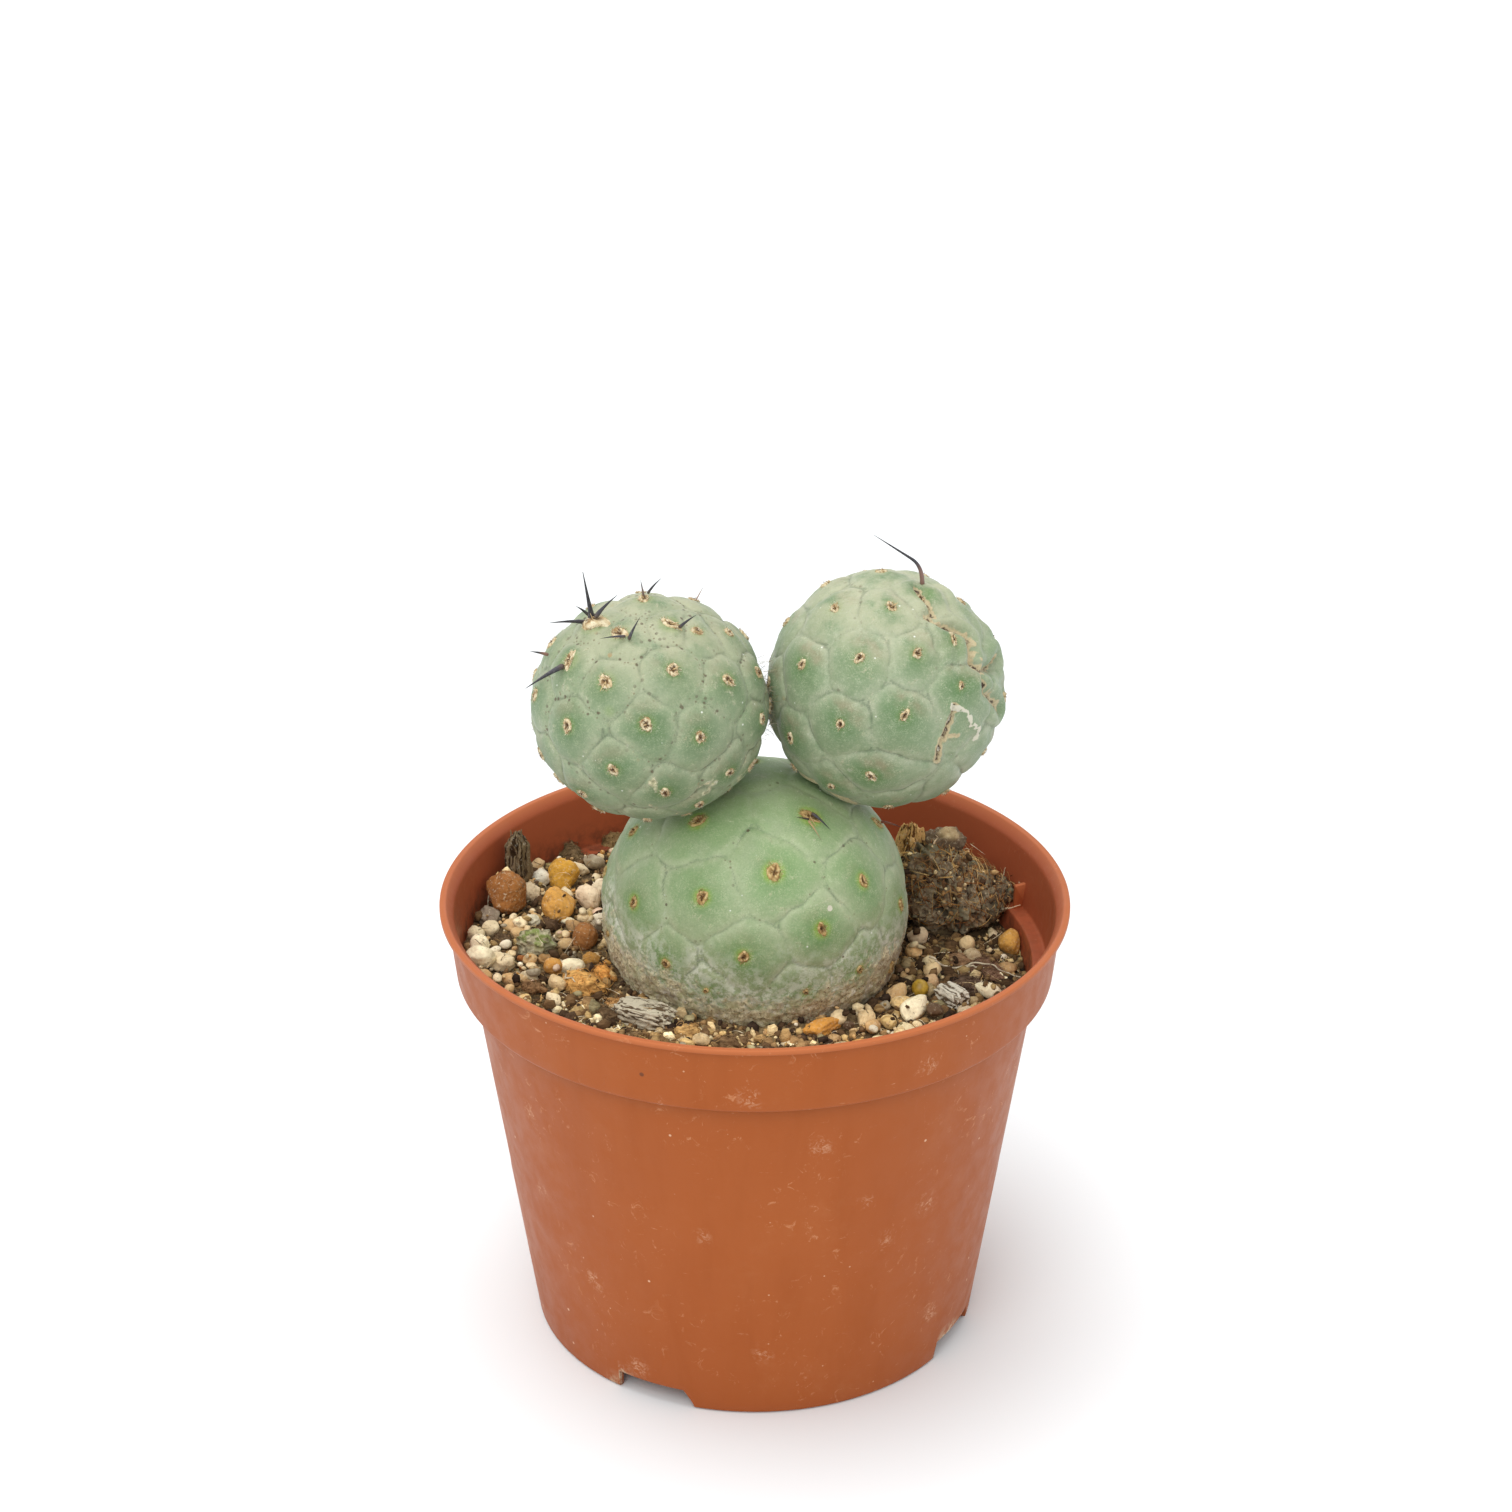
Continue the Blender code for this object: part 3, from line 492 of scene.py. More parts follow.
def crumb_look():
    """Peat crumbs, wood bits and fibres: each one's own tint with light and dark strands."""
    look = tinted("peat_crumbs", 0.93, 0.15, (2.0, 2.0, 1.95))
    tint = look.colour
    strand = look.noise(0.8, 4.0, 0.7, 0.8, look.stretched(0.35, 1.0, 1.3))
    look.colour = look.mix(look.between(strand, 0.35, 0.65), look.mix(0.60, tint, srgb(120, 96, 70), "MULTIPLY"), tint)
    look.paint((170, 140, 96), look.between(strand, 0.66, 0.74), 0.5)
    return look.finish((strand, 0.20, 0.8))


def soil_look():
    """Damp peat between the crumbs: dark, with fibre and fine pale grit in it."""
    look = Look("soil", 0.95, 0.12)
    grain = look.noise(0.9, 6.0, 0.75)
    look.colour = look.mix(look.between(grain, 0.36, 0.62), srgb(84, 68, 50), srgb(154, 130, 94))
    look.paint((176, 152, 110), look.patches(0.50, 0.70, 4.2, 3.0))
    look.paint((56, 44, 34), look.maths("SUBTRACT", 1.15, look.layer("shade")), 1.1)
    look.paint((150, 122, 80), look.patches(0.62, 0.70, 0.9, 3.0, 0.6, 1.5, look.stretched(0.3, 1.2, 1.0)), 0.8)
    look.paint((196, 174, 136), look.spots(1.0, 0.24, 0.12), 0.9)
    return look.finish((grain, 0.5, 0.9), (look.noise(0.35, 3.0), 0.2, 0.8))


def peat_look():
    """The big clod: brown fibrous peat with rust, tan and grey-green parts."""
    look = Look("peat", 0.94, 0.12)
    grain = look.noise(0.8, 6.0, 0.75)
    strand = look.noise(0.9, 4.0, 0.7, 1.6, look.stretched(0.4, 0.9, 1.3))
    look.colour = look.mix(look.between(grain, 0.34, 0.64), srgb(120, 104, 84), srgb(198, 180, 148))
    look.paint((146, 138, 112), look.patches(0.50, 0.66, 5.5, 2.0))
    look.paint((168, 124, 82), look.patches(0.52, 0.66, 3.2, 4.0), 0.55)
    look.paint((84, 74, 58), look.layer("gloom"), look.patches(0.3, 0.6, 2.0, 4.0))
    # Painted shade: the pits and low parts of the clod are painted dark.
    look.paint((52, 40, 32), look.layer("hollow"))
    look.paint((184, 154, 106), look.between(strand, 0.60, 0.68), 0.85)
    look.paint((216, 196, 158), look.spots(1.1, 0.24, 0.18), 0.9)
    return look.finish((grain, 0.6, 1.0), (strand, 0.3, 0.8))


def bark_look():
    """Weathered bark: pale ribs along the grain, dark between them (the rib layer)."""
    look = Look("bark", 0.92, 0.15)
    tint = look.layer("tint", colour=True)
    grain = look.noise(0.5, 4.0, 0.7)
    uneven = look.times(look.maths("SUBTRACT", look.noise(1.4, 4.0, 0.7), 0.5), 1.2)
    ragged = look.maths("ADD", look.layer("rib"), uneven)
    look.colour = look.mix(look.between(ragged, 0.18, 0.52), look.mix(0.95, tint, srgb(110, 90, 70), "MULTIPLY"), tint)
    look.paint((214, 208, 194), look.between(grain, 0.56, 0.72), 0.6)
    look.paint((60, 46, 34), look.between(grain, 0.42, 0.30), 0.7)
    return look.finish((grain, 0.15, 0.8))


def bead_look():
    look = Look("fertiliser", 0.38, 0.5)
    cloud = look.noise(1.4, 3.0)
    look.colour = look.mix(look.between(cloud, 0.35, 0.65), srgb(150, 118, 30), srgb(196, 160, 58))
    look.paint((96, 78, 30), look.spots(0.7, 0.2, 0.2), 0.6)
    return look.finish((cloud, 0.08, 0.4))


def wool_look():
    """Areole wool and bristles: each hair's own tint with a little dust."""
    look = Look("areole_wool", 0.85, 0.2)
    look.colour = look.layer("tint", colour=True)
    look.paint((150, 122, 84), look.patches(0.5, 0.7, 0.25, 2.0), 0.35)
    return look.finish()


def spine_look():
    look = Look("spine", 0.42, 0.4)
    look.colour = look.layer("tint", colour=True)
    grain = look.noise(0.3, 3.0, 0.7, 0.0, look.stretched(1.0, 1.0, 0.3))
    look.paint((120, 116, 118), look.between(grain, 0.50, 0.72), 0.5)
    return look.finish((grain, 0.04, 0.5))


def floor_look():
    look = Look("floor", 0.9, 0.0)
    look.colour = look.mix(look.noise(900.0, 1.0), (0.846, 0.872, 0.884), (0.856, 0.882, 0.894))
    return look.finish()


# ---------------------------------------------------------------- pot

def body_radius(z):
    return FOOT_RADIUS + (BODY_TOP_RADIUS - FOOT_RADIUS) * z / BODY_TOP


def collar_radius(z):
    return COLLAR_FOOT + (COLLAR_TOP - COLLAR_FOOT) * (z - BODY_TOP) / (POT_HEIGHT - BODY_TOP)


def rounded(corners, step=1.6):
    """A polyline through (radius, height, cut) corners, each cut by an arc, points at most a step apart."""
    points = []
    for k, (r, z, cut) in enumerate(corners):
        corner = np.array((r, z))
        if cut == 0.0 or k in (0, len(corners) - 1):
            points.append(corner)
            continue
        before = unit(np.array(corners[k - 1][:2]) - corner) * cut
        after = unit(np.array(corners[k + 1][:2]) - corner) * cut
        for t in np.linspace(0.0, 1.0, 5):
            points.append(corner + before * (1.0 - t) ** 2 + after * t**2)
    line = points[:1]
    for a, b in zip(points, points[1:]):
        count = max(1, math.ceil(float(np.linalg.norm(b - a)) / step))
        line += [a + (b - a) * (k + 1) / count for k in range(count)]
    return np.array(line)


def turn_from(headings, centre):
    """Headings as radians from a centre, the short way round."""
    return np.radians((headings - centre + 180.0) % 360.0 - 180.0)


def notch_lift(headings):
    """How far the foot is cut away at each heading: one side of a notch is upright, the other slants."""
    lift = np.zeros_like(headings)
    for centre in NOTCH_HEADINGS:
        x = turn_from(headings, centre) * (FOOT_RADIUS - WALL / 2.0)
        cut = np.minimum(ramp(x, -NOTCH_HALF - 0.12, -NOTCH_HALF + 0.22), 1.0)
        cut = np.minimum(cut, np.clip((NOTCH_HALF - x) / NOTCH_SLANT, 0.0, 1.0) ** 0.8)
        lift = np.maximum(lift, NOTCH_RISE * cut)
    return lift


# Scuffs on the pot: heading, height and radius.
POT_SCUFFS = (
    (33, 69.5, 2.2), (-1, 68.2, 2.4), (-17, 65.5, 1.2), (-54, 51.5, 2.4), (-55, 35.0, 2.2), (13, 56.0, 2.6),
    (40, 38.0, 2.8), (24, 43.0, 1.8), (-11, 37.5, 1.6), (30, 34.0, 1.6), (-40, 22.0, 2.4), (2, 13.0, 2.0),
    (48, 12.0, 2.6), (-30, 6.0, 2.6), (62, 64.0, 3.0), (120, 58.0, 3.0), (-140, 40.0, 3.0), (170, 66.0, 2.6),
    (-100, 20.0, 2.6), (85, 30.0, 2.8),
)


def make_pot(material):
    outer = rounded((
        (51.9, POT_HEIGHT, 0.0), (RIM_RADIUS, POT_HEIGHT, 0.30), (RIM_RADIUS, LIP_FOOT, 0.25),
        (collar_radius(LIP_FOOT), LIP_FOOT, 0.30), (COLLAR_FOOT, BODY_TOP, 0.75),
        (BODY_TOP_RADIUS, BODY_TOP, 0.30), (FOOT_RADIUS, 0.0, 0.35), (FOOT_RADIUS - WALL / 2.0, 0.0, 0.0),
    ))
    inner = rounded((
        (FOOT_RADIUS - WALL / 2.0, 0.0, 0.0), (FOOT_RADIUS - WALL, 0.0, 0.30),
        (body_radius(FLOOR_LOW) - WALL, FLOOR_LOW, 0.30), (18.0, FLOOR_LOW, 0.0), (17.4, FLOOR_LOW - 0.5, 0.2),
        (16.6, FLOOR_LOW - 0.5, 0.2), (16.0, FLOOR_LOW, 0.0), (2.4, FLOOR_LOW, 0.2), (2.0, FLOOR_LOW - 0.8, 0.3),
        (0.05, FLOOR_LOW - 0.9, 0.0),
    ))
    inside = rounded((
        (0.05, FLOOR_HIGH, 0.0), (body_radius(FLOOR_HIGH) - WALL, FLOOR_HIGH, 0.6),
        (body_radius(LEDGE) - WALL, LEDGE, 0.35), (collar_radius(LEDGE) - WALL, LEDGE, 0.45),
        (collar_radius(76.2) - WALL, 76.2, 0.5), (51.45, POT_HEIGHT, 0.22), (51.9, POT_HEIGHT, 0.0),
    ))
    line = np.concatenate([outer, inner[1:], inside[:-1]])
    edges = [c + np.degrees(x / FOOT_RADIUS) for c in NOTCH_HEADINGS for x in
             (-7.1, -6.95, -6.8, -6.6, 5.0, 5.2, 5.5, 6.0, 6.5, 6.8, 7.0)]
    headings = np.unique(np.round(np.concatenate([np.arange(-180.0, 180.0, 1.25), edges]), 4))
    lift = notch_lift(headings)
    r, z = line[:, 0][:, None], line[:, 1][:, None]
    count = len(line)
    outside = (np.arange(count) < len(outer))[:, None]
    below = (np.arange(count) < len(outer) + len(inner) - 1)[:, None]
    reach = np.where(outside, np.clip(1.0 - z / 9.0, 0.0, 1.0) ** 1.5, np.clip(1.0 - z / FLOOR_LOW, 0.0, 1.0) * below)
    reach = reach * (r > 30.0)
    heights = z + lift[None] * reach
    radii = r + (body_radius(heights) - body_radius(z)) * (reach > 0.0)
    # Moulded plastic is never quite round.
    radii = radii + 0.10 * np.sin(np.radians(headings * 2.0 + 40.0))[None] * (z > 30.0)
    points = polar(radii, np.radians(headings)[None], heights)
    index = np.arange(heights.size).reshape(heights.shape)
    faces = ring_quads(np.vstack([index, index[:1]]))
    # Inner surfaces are painted paler, as painted light against the shade in the bowl, and are dusty near the soil; the
    # rim of the lip is painted paler.
    outer_row = np.broadcast_to(outside, heights.shape)
    bowl = np.broadcast_to(~below, heights.shape)
    soil = SOIL_LEVEL - SOIL_SLOPE * points[..., 0]
    grime = bowl * ramp(heights - soil, 6.0, 0.0)
    lip = ramp(heights, LIP_FOOT - 0.1, LIP_FOOT + 0.5) * ramp(radii, 50.9, 51.4)
    near_notch = np.zeros_like(heights)
    for centre in NOTCH_HEADINGS:
        off = turn_from(headings, centre) * FOOT_RADIUS
        edge = np.abs(off + NOTCH_HALF) if centre in (-26.0, 154.0) else np.abs(off + 3.5) * 0.7
        near_notch = np.maximum(near_notch, ramp(edge, 3.6, 0.4)[None] * ramp(heights - lift[None], 2.6, 0.1))
    scuff = np.zeros_like(heights)
    for heading, height, size in POT_SCUFFS:
        off = turn_from(headings, heading)[None] * radii
        scuff = np.maximum(scuff, ramp(np.hypot(off, heights - height), size, 0.2 * size))
    # Painted shade under the collar's step: strongest at the step, fading over about a millimetre.
    under = np.exp(-np.maximum(BODY_TOP - heights, 0.0) / 1.1) * (heights < BODY_TOP) * outer_row
    pot = add_mesh(
        "pot_look", points.reshape(-1, 3), faces, material, scuff=(scuff * outer_row).ravel(), under=under.ravel(),
        inner=bowl.ravel() * 1.0, grime=grime.ravel(), worn=lip.ravel() * 1.0,
        chalk=(near_notch * outer_row).ravel(),
    )
    for centre in NOTCH_HEADINGS:
        add_drain(pot, centre)
    add_piece(pot, "terracotta_plastic", "pot")


def add_drain(pot, heading):
    """Cuts the round drain behind a notch out of the pot's floor."""
    place = heading_vector(heading) * (FOOT_RADIUS - WALL - 7.5)
    path = [place + (0.0, 0.0, z) for z in (FLOOR_LOW - 1.5, FLOOR_LOW, FLOOR_HIGH, FLOOR_HIGH + 1.5)]
    points, faces = tube(path, [3.5] * 4, 28)
    cutter = add_mesh(f"drain_{heading:.0f}", points, faces, pot.data.materials[0])
    modifier = pot.modifiers.new(cutter.name, "BOOLEAN")
    modifier.object, modifier.operation, modifier.solver = cutter, "DIFFERENCE", "FAST"
    bpy.context.view_layer.objects.active = pot
    bpy.context.view_layer.update()
    bpy.ops.object.modifier_apply(modifier=modifier.name)
    bpy.data.objects.remove(cutter)


def make_lug(material):
    """The thin stacking rib inside the collar."""
    outward, side = heading_vector(LUG_HEADING), heading_vector(LUG_HEADING + 90.0)
    outline = rounded(((50.0, 65.9, 0.0), (47.4, 65.9, 0.1), (47.6, 70.6, 0.15), (50.2, 70.9, 0.0)), 0.5)
    rows = []
    for offset, inset in ((-0.40, 0.10), (-0.32, 0.0), (0.32, 0.0), (0.40, 0.10)):
        middle = np.array((48.6, 68.3))
        shape = outline + unit(middle - outline) * inset
        rows.append(outward * shape[:, :1] + side * offset + np.array((0.0, 0.0, 1.0)) * shape[:, 1:])
    points = np.concatenate(rows)
    n = len(outline)
    faces = []
    for k in range(3):
        for j in range(n):
            a, b = k * n + j, k * n + (j + 1) % n
            faces += [(a, a + n, b + n), (a, b + n, b)]
    for k in range(1, n - 1):
        faces += [(0, k, k + 1), (3 * n, 3 * n + k + 1, 3 * n + k)]
    layers = dict.fromkeys(("grime", "chalk", "scuff", "under"), np.zeros(len(points)))
    # The rib gets part of the inner walls' painted light, and its top is paler.
    layers.update(inner=np.full(len(points), 0.6), worn=ramp(points[:, 2], 70.2, 70.6))
    add_piece(add_mesh("pot_stacking_rib", points, np.array(faces), material, True, **layers), "terracotta_plastic")


# ---------------------------------------------------------------- segments

def spiral(count, axis, seed):
    """Golden-angle directions about an axis."""
    k = np.arange(count)
    z = 1.0 - 2.0 * (k + 0.5) / count
    turn = k * math.pi * (3.0 - math.sqrt(5.0)) + seed
    across = np.sqrt(1.0 - z * z)
    axis = unit(axis)
    side = unit(np.cross(axis, (0.2, 1.0, 0.1)))
    other = np.cross(axis, side)
    return side * (across * np.cos(turn))[:, None] + other * (across * np.sin(turn))[:, None] + axis * z[:, None]


def areole_layout(spec):
    """Directions of all areoles, the ones given and others spread evenly over the rest, and their sizes."""
    given = np.array(spec["areoles"], float)
    fixed = heading_vector(given[:, 0], given[:, 1])
    loose = spiral(spec["count"], spec["axis"], spec["seed"])
    for direction in fixed:
        loose = np.delete(loose, np.argmax(loose @ direction), 0)
    for _round in range(160):
        everything = np.concatenate([fixed, loose])
        apart = loose[:, None] - everything[None]
        distance = np.linalg.norm(apart, axis=-1)
        distance[distance < 1e-9] = 1e9
        push = (apart / distance[..., None] ** 4).sum(1)
        loose = unit(loose + 0.004 * push / np.maximum(1.0, np.linalg.norm(push, axis=-1, keepdims=True) / 10.0))
    # The front holds only the areoles of the table.
    loose = loose[loose @ heading_vector(0.0, 26.0) < 0.42]
    rng = np.random.default_rng(spec["seed"])
    default = given[:, 2:4].mean(0)
    sizes = default * rng.uniform(0.80, 1.05, (len(loose), 1))
    loose_rows = np.concatenate([sizes, rng.uniform(-12.0, 12.0, (len(loose), 1))], 1)
    return np.concatenate([fixed, loose]), np.concatenate([given[:, 2:], loose_rows])


def half_sizes(spec, directions):
    half = np.broadcast_to(spec["half"], directions.shape).copy()
    half[:, 2] = np.where(directions[:, 2] < 0.0, spec["deep"], half[:, 2])
    return half


def line_distance(points, line, half):
    """Distance in millimetres from points on a segment to a line of headings and heights."""
    corners = np.array(line, float)
    ends = heading_vector(corners[:, 0], corners[:, 1]) * half
    nearest = np.full(len(points), 1e9)
    for a, b in zip(ends, ends[1:]):
        t = np.clip(((points - a) @ (b - a)) / ((b - a) @ (b - a)), 0.0, 1.0)
        nearest = np.minimum(nearest, np.linalg.norm(points - a - t[:, None] * (b - a), axis=-1))
    return nearest


def point_distance(points, centres):
    """Distances between two sets of points."""
    square = (points**2).sum(1)[:, None] + (centres**2).sum(1)[None] - 2.0 * points @ centres.T
    return np.sqrt(np.maximum(square, 1e-9))


def pad_frame(direction, turn, axis):
    """Upright and sideways directions on the skin at an areole."""
    up = unit(axis - direction * (direction @ axis) + 1e-6)
    side = np.cross(direction, up)
    angle = math.radians(turn)
    return up * math.cos(angle) + side * math.sin(angle), side * math.cos(angle) - up * math.sin(angle)


def shape_segment(spec, directions):
    """Offsets from the oval and skin layers at the given directions."""
    half = half_sizes(spec, directions)
    oval = directions * half
    areoles, sizes = spec["layout"]
    centres = areoles * half_sizes(spec, areoles)
    seed = spec["seed"]
    warp = np.stack([fractal(oval, 8.0, seed + k, 2) for k in range(3)], 1) * 0.45
    # A cell reaches further below its areole than above it.
    upright = unit(spec["axis"])
    sites = centres - 0.7 * (upright - areoles * (areoles @ upright)[:, None])
    distance = point_distance(oval + warp, sites)
    order = np.argpartition(distance, 4, axis=1)[:, :4]
    near = np.take_along_axis(distance, order, 1)
    rank = np.argsort(near, 1)
    near, order = np.take_along_axis(near, rank, 1), np.take_along_axis(order, rank, 1)
    soft = 0.42
    edge = -soft * np.log(np.exp(-(near[:, 1:] - near[:, :1]) / (2.0 * soft)).sum(1))
    # A groove is plainest above an areole, and fades towards the foot of its cell.
    rises = []
    for k in range(2):
        away = oval - centres[order[:, k]]
        rises.append((away @ upright) / (np.linalg.norm(away, axis=-1) + 0.01))
    strength = 0.12 + 0.88 * ramp(np.maximum(*rises), 0.0, 0.75)
    strength = strength * np.clip(0.72 + 0.40 * fractal(oval, 7.0, seed + 11, 2), 0.15, 1.0)
    crown = ramp(directions @ upright, 0.97, 0.80)
    strength = np.clip(strength * (0.4 + 0.6 * crown), 0.0, 1.0)
    # The line layer deepens the grooves and carries their painted shade.
    line = np.exp(-((edge / 0.15) ** 2)) * strength
    shoulder = np.exp(-(np.maximum(edge - 0.25, 0.0) / 0.95) ** 2) * (0.55 + 0.45 * strength)
    pillow = 1.0 - np.exp(-np.maximum(edge, 0.0) / 1.5)
    height = spec["rise"] * (pillow - 0.8) - 0.10 * line
    height = height + 0.10 * fractal(oval, 14.0, seed + 21, 2) + 0.035 * fractal(oval, 2.2, seed + 22, 2)
    areole = np.sqrt(np.maximum(((oval - centres[order[:, 0]]) ** 2).sum(1), 1e-9))
    height = height - 0.30 * np.exp(-((areole / 0.8) ** 2))
    size = sizes[order[:, 0], 0]
    spread = spec["halo"] * (1.0 + 0.15 * fractal(oval, 5.0, seed + 12, 2))
    halo = np.exp(-((np.maximum(areole - size * 0.3, 0.0) / spread) ** 2))
    rim = np.exp(-((np.maximum(areole - size * 0.42, 0.0) / 0.55) ** 2))
    layers = dict.fromkeys(("cork", "dust", "scar", "crust", "violet"), np.zeros(len(oval)))
    layers.update(halo=halo * 0.80, rim=rim, line=line, shoulder=shoulder)
    layers["tinge"] = ramp(rises[0], 0.1, 0.8) * np.exp(-(((areole - 3.0) / 1.3) ** 2))
    # Painted light: the crown layer makes upward-facing skin paler, as if lit from above.
    layers["crown"] = ramp(directions[:, 2], 0.35, 0.95)
    bits = 1.1 * np.exp(-(((edge - 0.1) / 0.7) ** 2)) * ramp(fractal(oval, 8.0, seed + 13, 2), -0.9, 0.4)
    layers["bits"] = np.clip(bits, 0.0, 1.0)
    DETAILS[spec["name"]](spec, oval, directions, layers, height, edge)
    return oval, height, layers


def lower_details(spec, oval, directions, layers, height, edge):
    """Cork and dusty bloom near the soil."""
    x, z = oval[:, 0], oval[:, 2] + spec["centre"][2]
    above = z - (SOIL_LEVEL - SOIL_SLOPE * x) + 1.6 * fractal(oval, 7.0, 71, 3) + 0.8 * fractal(oval, 1.8, 72, 2)
    above = above - 3.0 * (x / 22.0) ** 2
    layers["cork"] = ramp(above, 9.0, 0.0)
    layers["dust"] = ramp(above, 15.0, 5.0) * (0.60 + 0.40 * layers["shoulder"])
    layers["violet"] = ramp(above, 4.5, 1.0) * ramp(x, -4.0, 14.0)
    creased = oval * (0.5, 0.5, 2.0)
    height += 0.14 * layers["cork"] * (fractal(oval, 1.1, 73, 3) + fractal(creased, 1.6, 74, 2))
    layers["line"] = layers["line"] * (1.0 - 0.8 * layers["cork"])
    spot = np.linalg.norm(oval - heading_vector(31.0, 23.0) * spec["half"], axis=-1)
    layers["crust"] = ramp(spot, 0.9, 0.2)


def left_details(spec, oval, directions, layers, height, edge):
    """Many dark specks along the grooves and a thin dusty foot."""
    crown = ramp(directions @ unit(spec["axis"]), 0.2, 0.95)
    layers["bits"] = np.clip(layers["bits"] * (0.9 + 0.4 * crown) + 0.25 * crown * ramp(edge, 2.2, 0.4), 0.0, 1.0)
    spot = np.linalg.norm(oval - heading_vector(-19.0, 22.0) * spec["half"], axis=-1)
    layers["rim"] = np.maximum(layers["rim"], 0.9 * ramp(spot, 1.3, 0.3))
    layers["cork"] = 0.5 * ramp(fractal(oval, 6.0, 76, 3) - 0.02 * oval[:, 2], 1.1, 1.5)


def right_details(spec, oval, directions, layers, height, edge):
    """The corky crack and its fold, the scars below it and the scab at the joint."""
    half = spec["half"]
    wobble = 0.35 * fractal(oval, 1.6, 81, 2)
    crown, side, branch = (line_distance(oval, line, half) for line in (CROWN_CRACK, SIDE_CRACK, CRACK_BRANCH))
    crack = np.minimum(crown, np.minimum(side, branch + 0.15))
    scar = np.minimum(line_distance(oval, UPRIGHT_SCAR, half), line_distance(oval, SCAR_SPUR, half) + 0.3)
    scab = line_distance(oval, JOINT_SCAB, half)
    white = line_distance(oval, WHITE_SCAR, half)
    # The skin swells on both sides of the crack, most on the far side.
    far = ramp(oval[:, 0] - 0.55 * oval[:, 2], -9.0, 3.0)
    height += 0.85 * np.exp(-(((crack - 2.3) / 1.4) ** 2)) * (0.30 + 0.70 * far)
    height += 0.45 * np.exp(-(((crack - 5.6) / 1.3) ** 2)) * far
    height -= 0.85 * np.exp(-((crack / 0.75) ** 2))
    height += 0.22 * np.exp(-((scar - 0.7) / 0.45) ** 2) - 0.35 * np.exp(-((scar / 0.35) ** 2))
    height += 0.20 * np.exp(-((white / 0.6) ** 2))
    lumpy = ramp(directions @ heading_vector(82.0, 35.0), 0.55, 0.92)
    height += lumpy * (0.55 * waves(oval, 8.5, 85) + 0.30 * waves(oval, 4.6, 86))
    patch = ramp(line_distance(oval, CROWN_CRACK[:4], half) + wobble, 1.0, 0.3)
    width = 0.72 + 0.40 * waves(oval, 3.0, 87)
    crinkled = ramp(line_distance(oval, SIDE_CRACK[:4], half) + 2.0 * wobble, 1.6, 0.6)
    foot = ramp(oval[:, 2], 4.0, -5.0)
    layers["scar"] = np.clip(np.maximum.reduce([
        ramp(crack + wobble, width + 0.35, 0.0), patch * 0.75, ramp(scar + wobble * 0.6, 0.95 + 0.45 * foot, 0.05),
        0.72 * ramp(scab + wobble, 1.7, 0.5), 0.66 * crinkled,
    ]), 0.0, 1.0)
    layers["crust"] = np.maximum(0.85 * ramp(white + 1.6 * wobble, 0.75, 0.05),
                                 0.7 * ramp(scar + 0.5 + 1.5 * wobble, 0.9, 0.4))
    layers["violet"] = 0.9 * ramp(scab, 2.4, 1.0)
    layers["bits"] = layers["bits"] * 0.45


DETAILS = {"lower_segment": lower_details, "left_segment": left_details, "right_segment": right_details}


def make_segments(looks):
    directions, faces = sphere_grid(126)
    for name, spec in SEGMENTS.items():
        spec["layout"] = areole_layout(spec)
        points, _normals, layers = skin(spec, directions)
        if name != "lower_segment":
            points = press_onto(points, SEGMENTS["lower_segment"])
        add_piece(add_mesh(name + "_look", points, faces, looks[name], **layers), "cactus_skin", name)


def skin(spec, directions):
    """Places on the visual skin, the outward directions there and the skin layers."""
    oval, height, layers = shape_segment(spec, directions)
    normals = unit(directions / half_sizes(spec, directions))
    return spec["centre"] + oval + normals * height[:, None], normals, layers


def press_onto(points, lower):
    """Dents an upper segment where it meets the lower one's skin."""
    away = points - lower["centre"]
    reach = np.linalg.norm(away, axis=-1)
    directions = away / reach[:, None]
    # The oval through each direction: its round parameter is the direction over the half sizes.
    half = half_sizes(lower, directions)
    limit = 1.0 / np.linalg.norm(directions / half, axis=-1)
    near = reach < limit + 1.2
    if near.any():
        on_oval = unit(directions[near] / half[near])
        limit[near] += shape_segment(lower, on_oval)[1] + 0.22
    return lower["centre"] + directions * np.maximum(limit, reach)[:, None]


# Colours of an areole's wool and bristles, on the upper segments and on the lower one.
WOOL = srgb((232, 220, 188), (218, 202, 164), (196, 172, 130), (158, 130, 92), (240, 234, 214))
BRISTLES = srgb((84, 60, 42), (106, 78, 52), (66, 50, 40), (134, 102, 68))
LOWER_WOOL = srgb((216, 192, 140), (200, 172, 116), (178, 146, 92), (150, 118, 74), (226, 210, 168))
LOWER_BRISTLES = srgb((96, 68, 44), (120, 88, 52), (70, 52, 38), (148, 112, 66))


def make_areoles(material):
    for name, spec in SEGMENTS.items():
        pile = Pile()
        rng = np.random.default_rng(spec["seed"] + 100)
        directions, sizes = spec["layout"]
        centres, normals, _layers = skin(spec, directions)
        shown = centres[:, 2] >= SOIL_LEVEL - SOIL_SLOPE * centres[:, 0] + 0.5
        for other in SEGMENTS.values():
            if other is not spec:
                local = (centres - other["centre"]) / (other["half"] + 0.5)
                shown &= np.linalg.norm(local, axis=-1) >= 1.0
        tones, darks = (LOWER_WOOL, LOWER_BRISTLES) if name == "lower_segment" else (WOOL, BRISTLES)
        for centre, normal, (length, width, turn) in zip(centres[shown], normals[shown], sizes[shown]):
            up, side = pad_frame(normal, turn, spec["axis"])
            plump = 0.95 if length > 3.9 and name == "left_segment" else 0.0
            wool = int(70 * length * width / 3.6)
            add_areole(pile, rng, centre, normal, up * length / 2.0, side * width / 2.0, plump, wool, tones, darks)
        pile.build(name.replace("_segment", "_areoles"), "areole_wool", material)


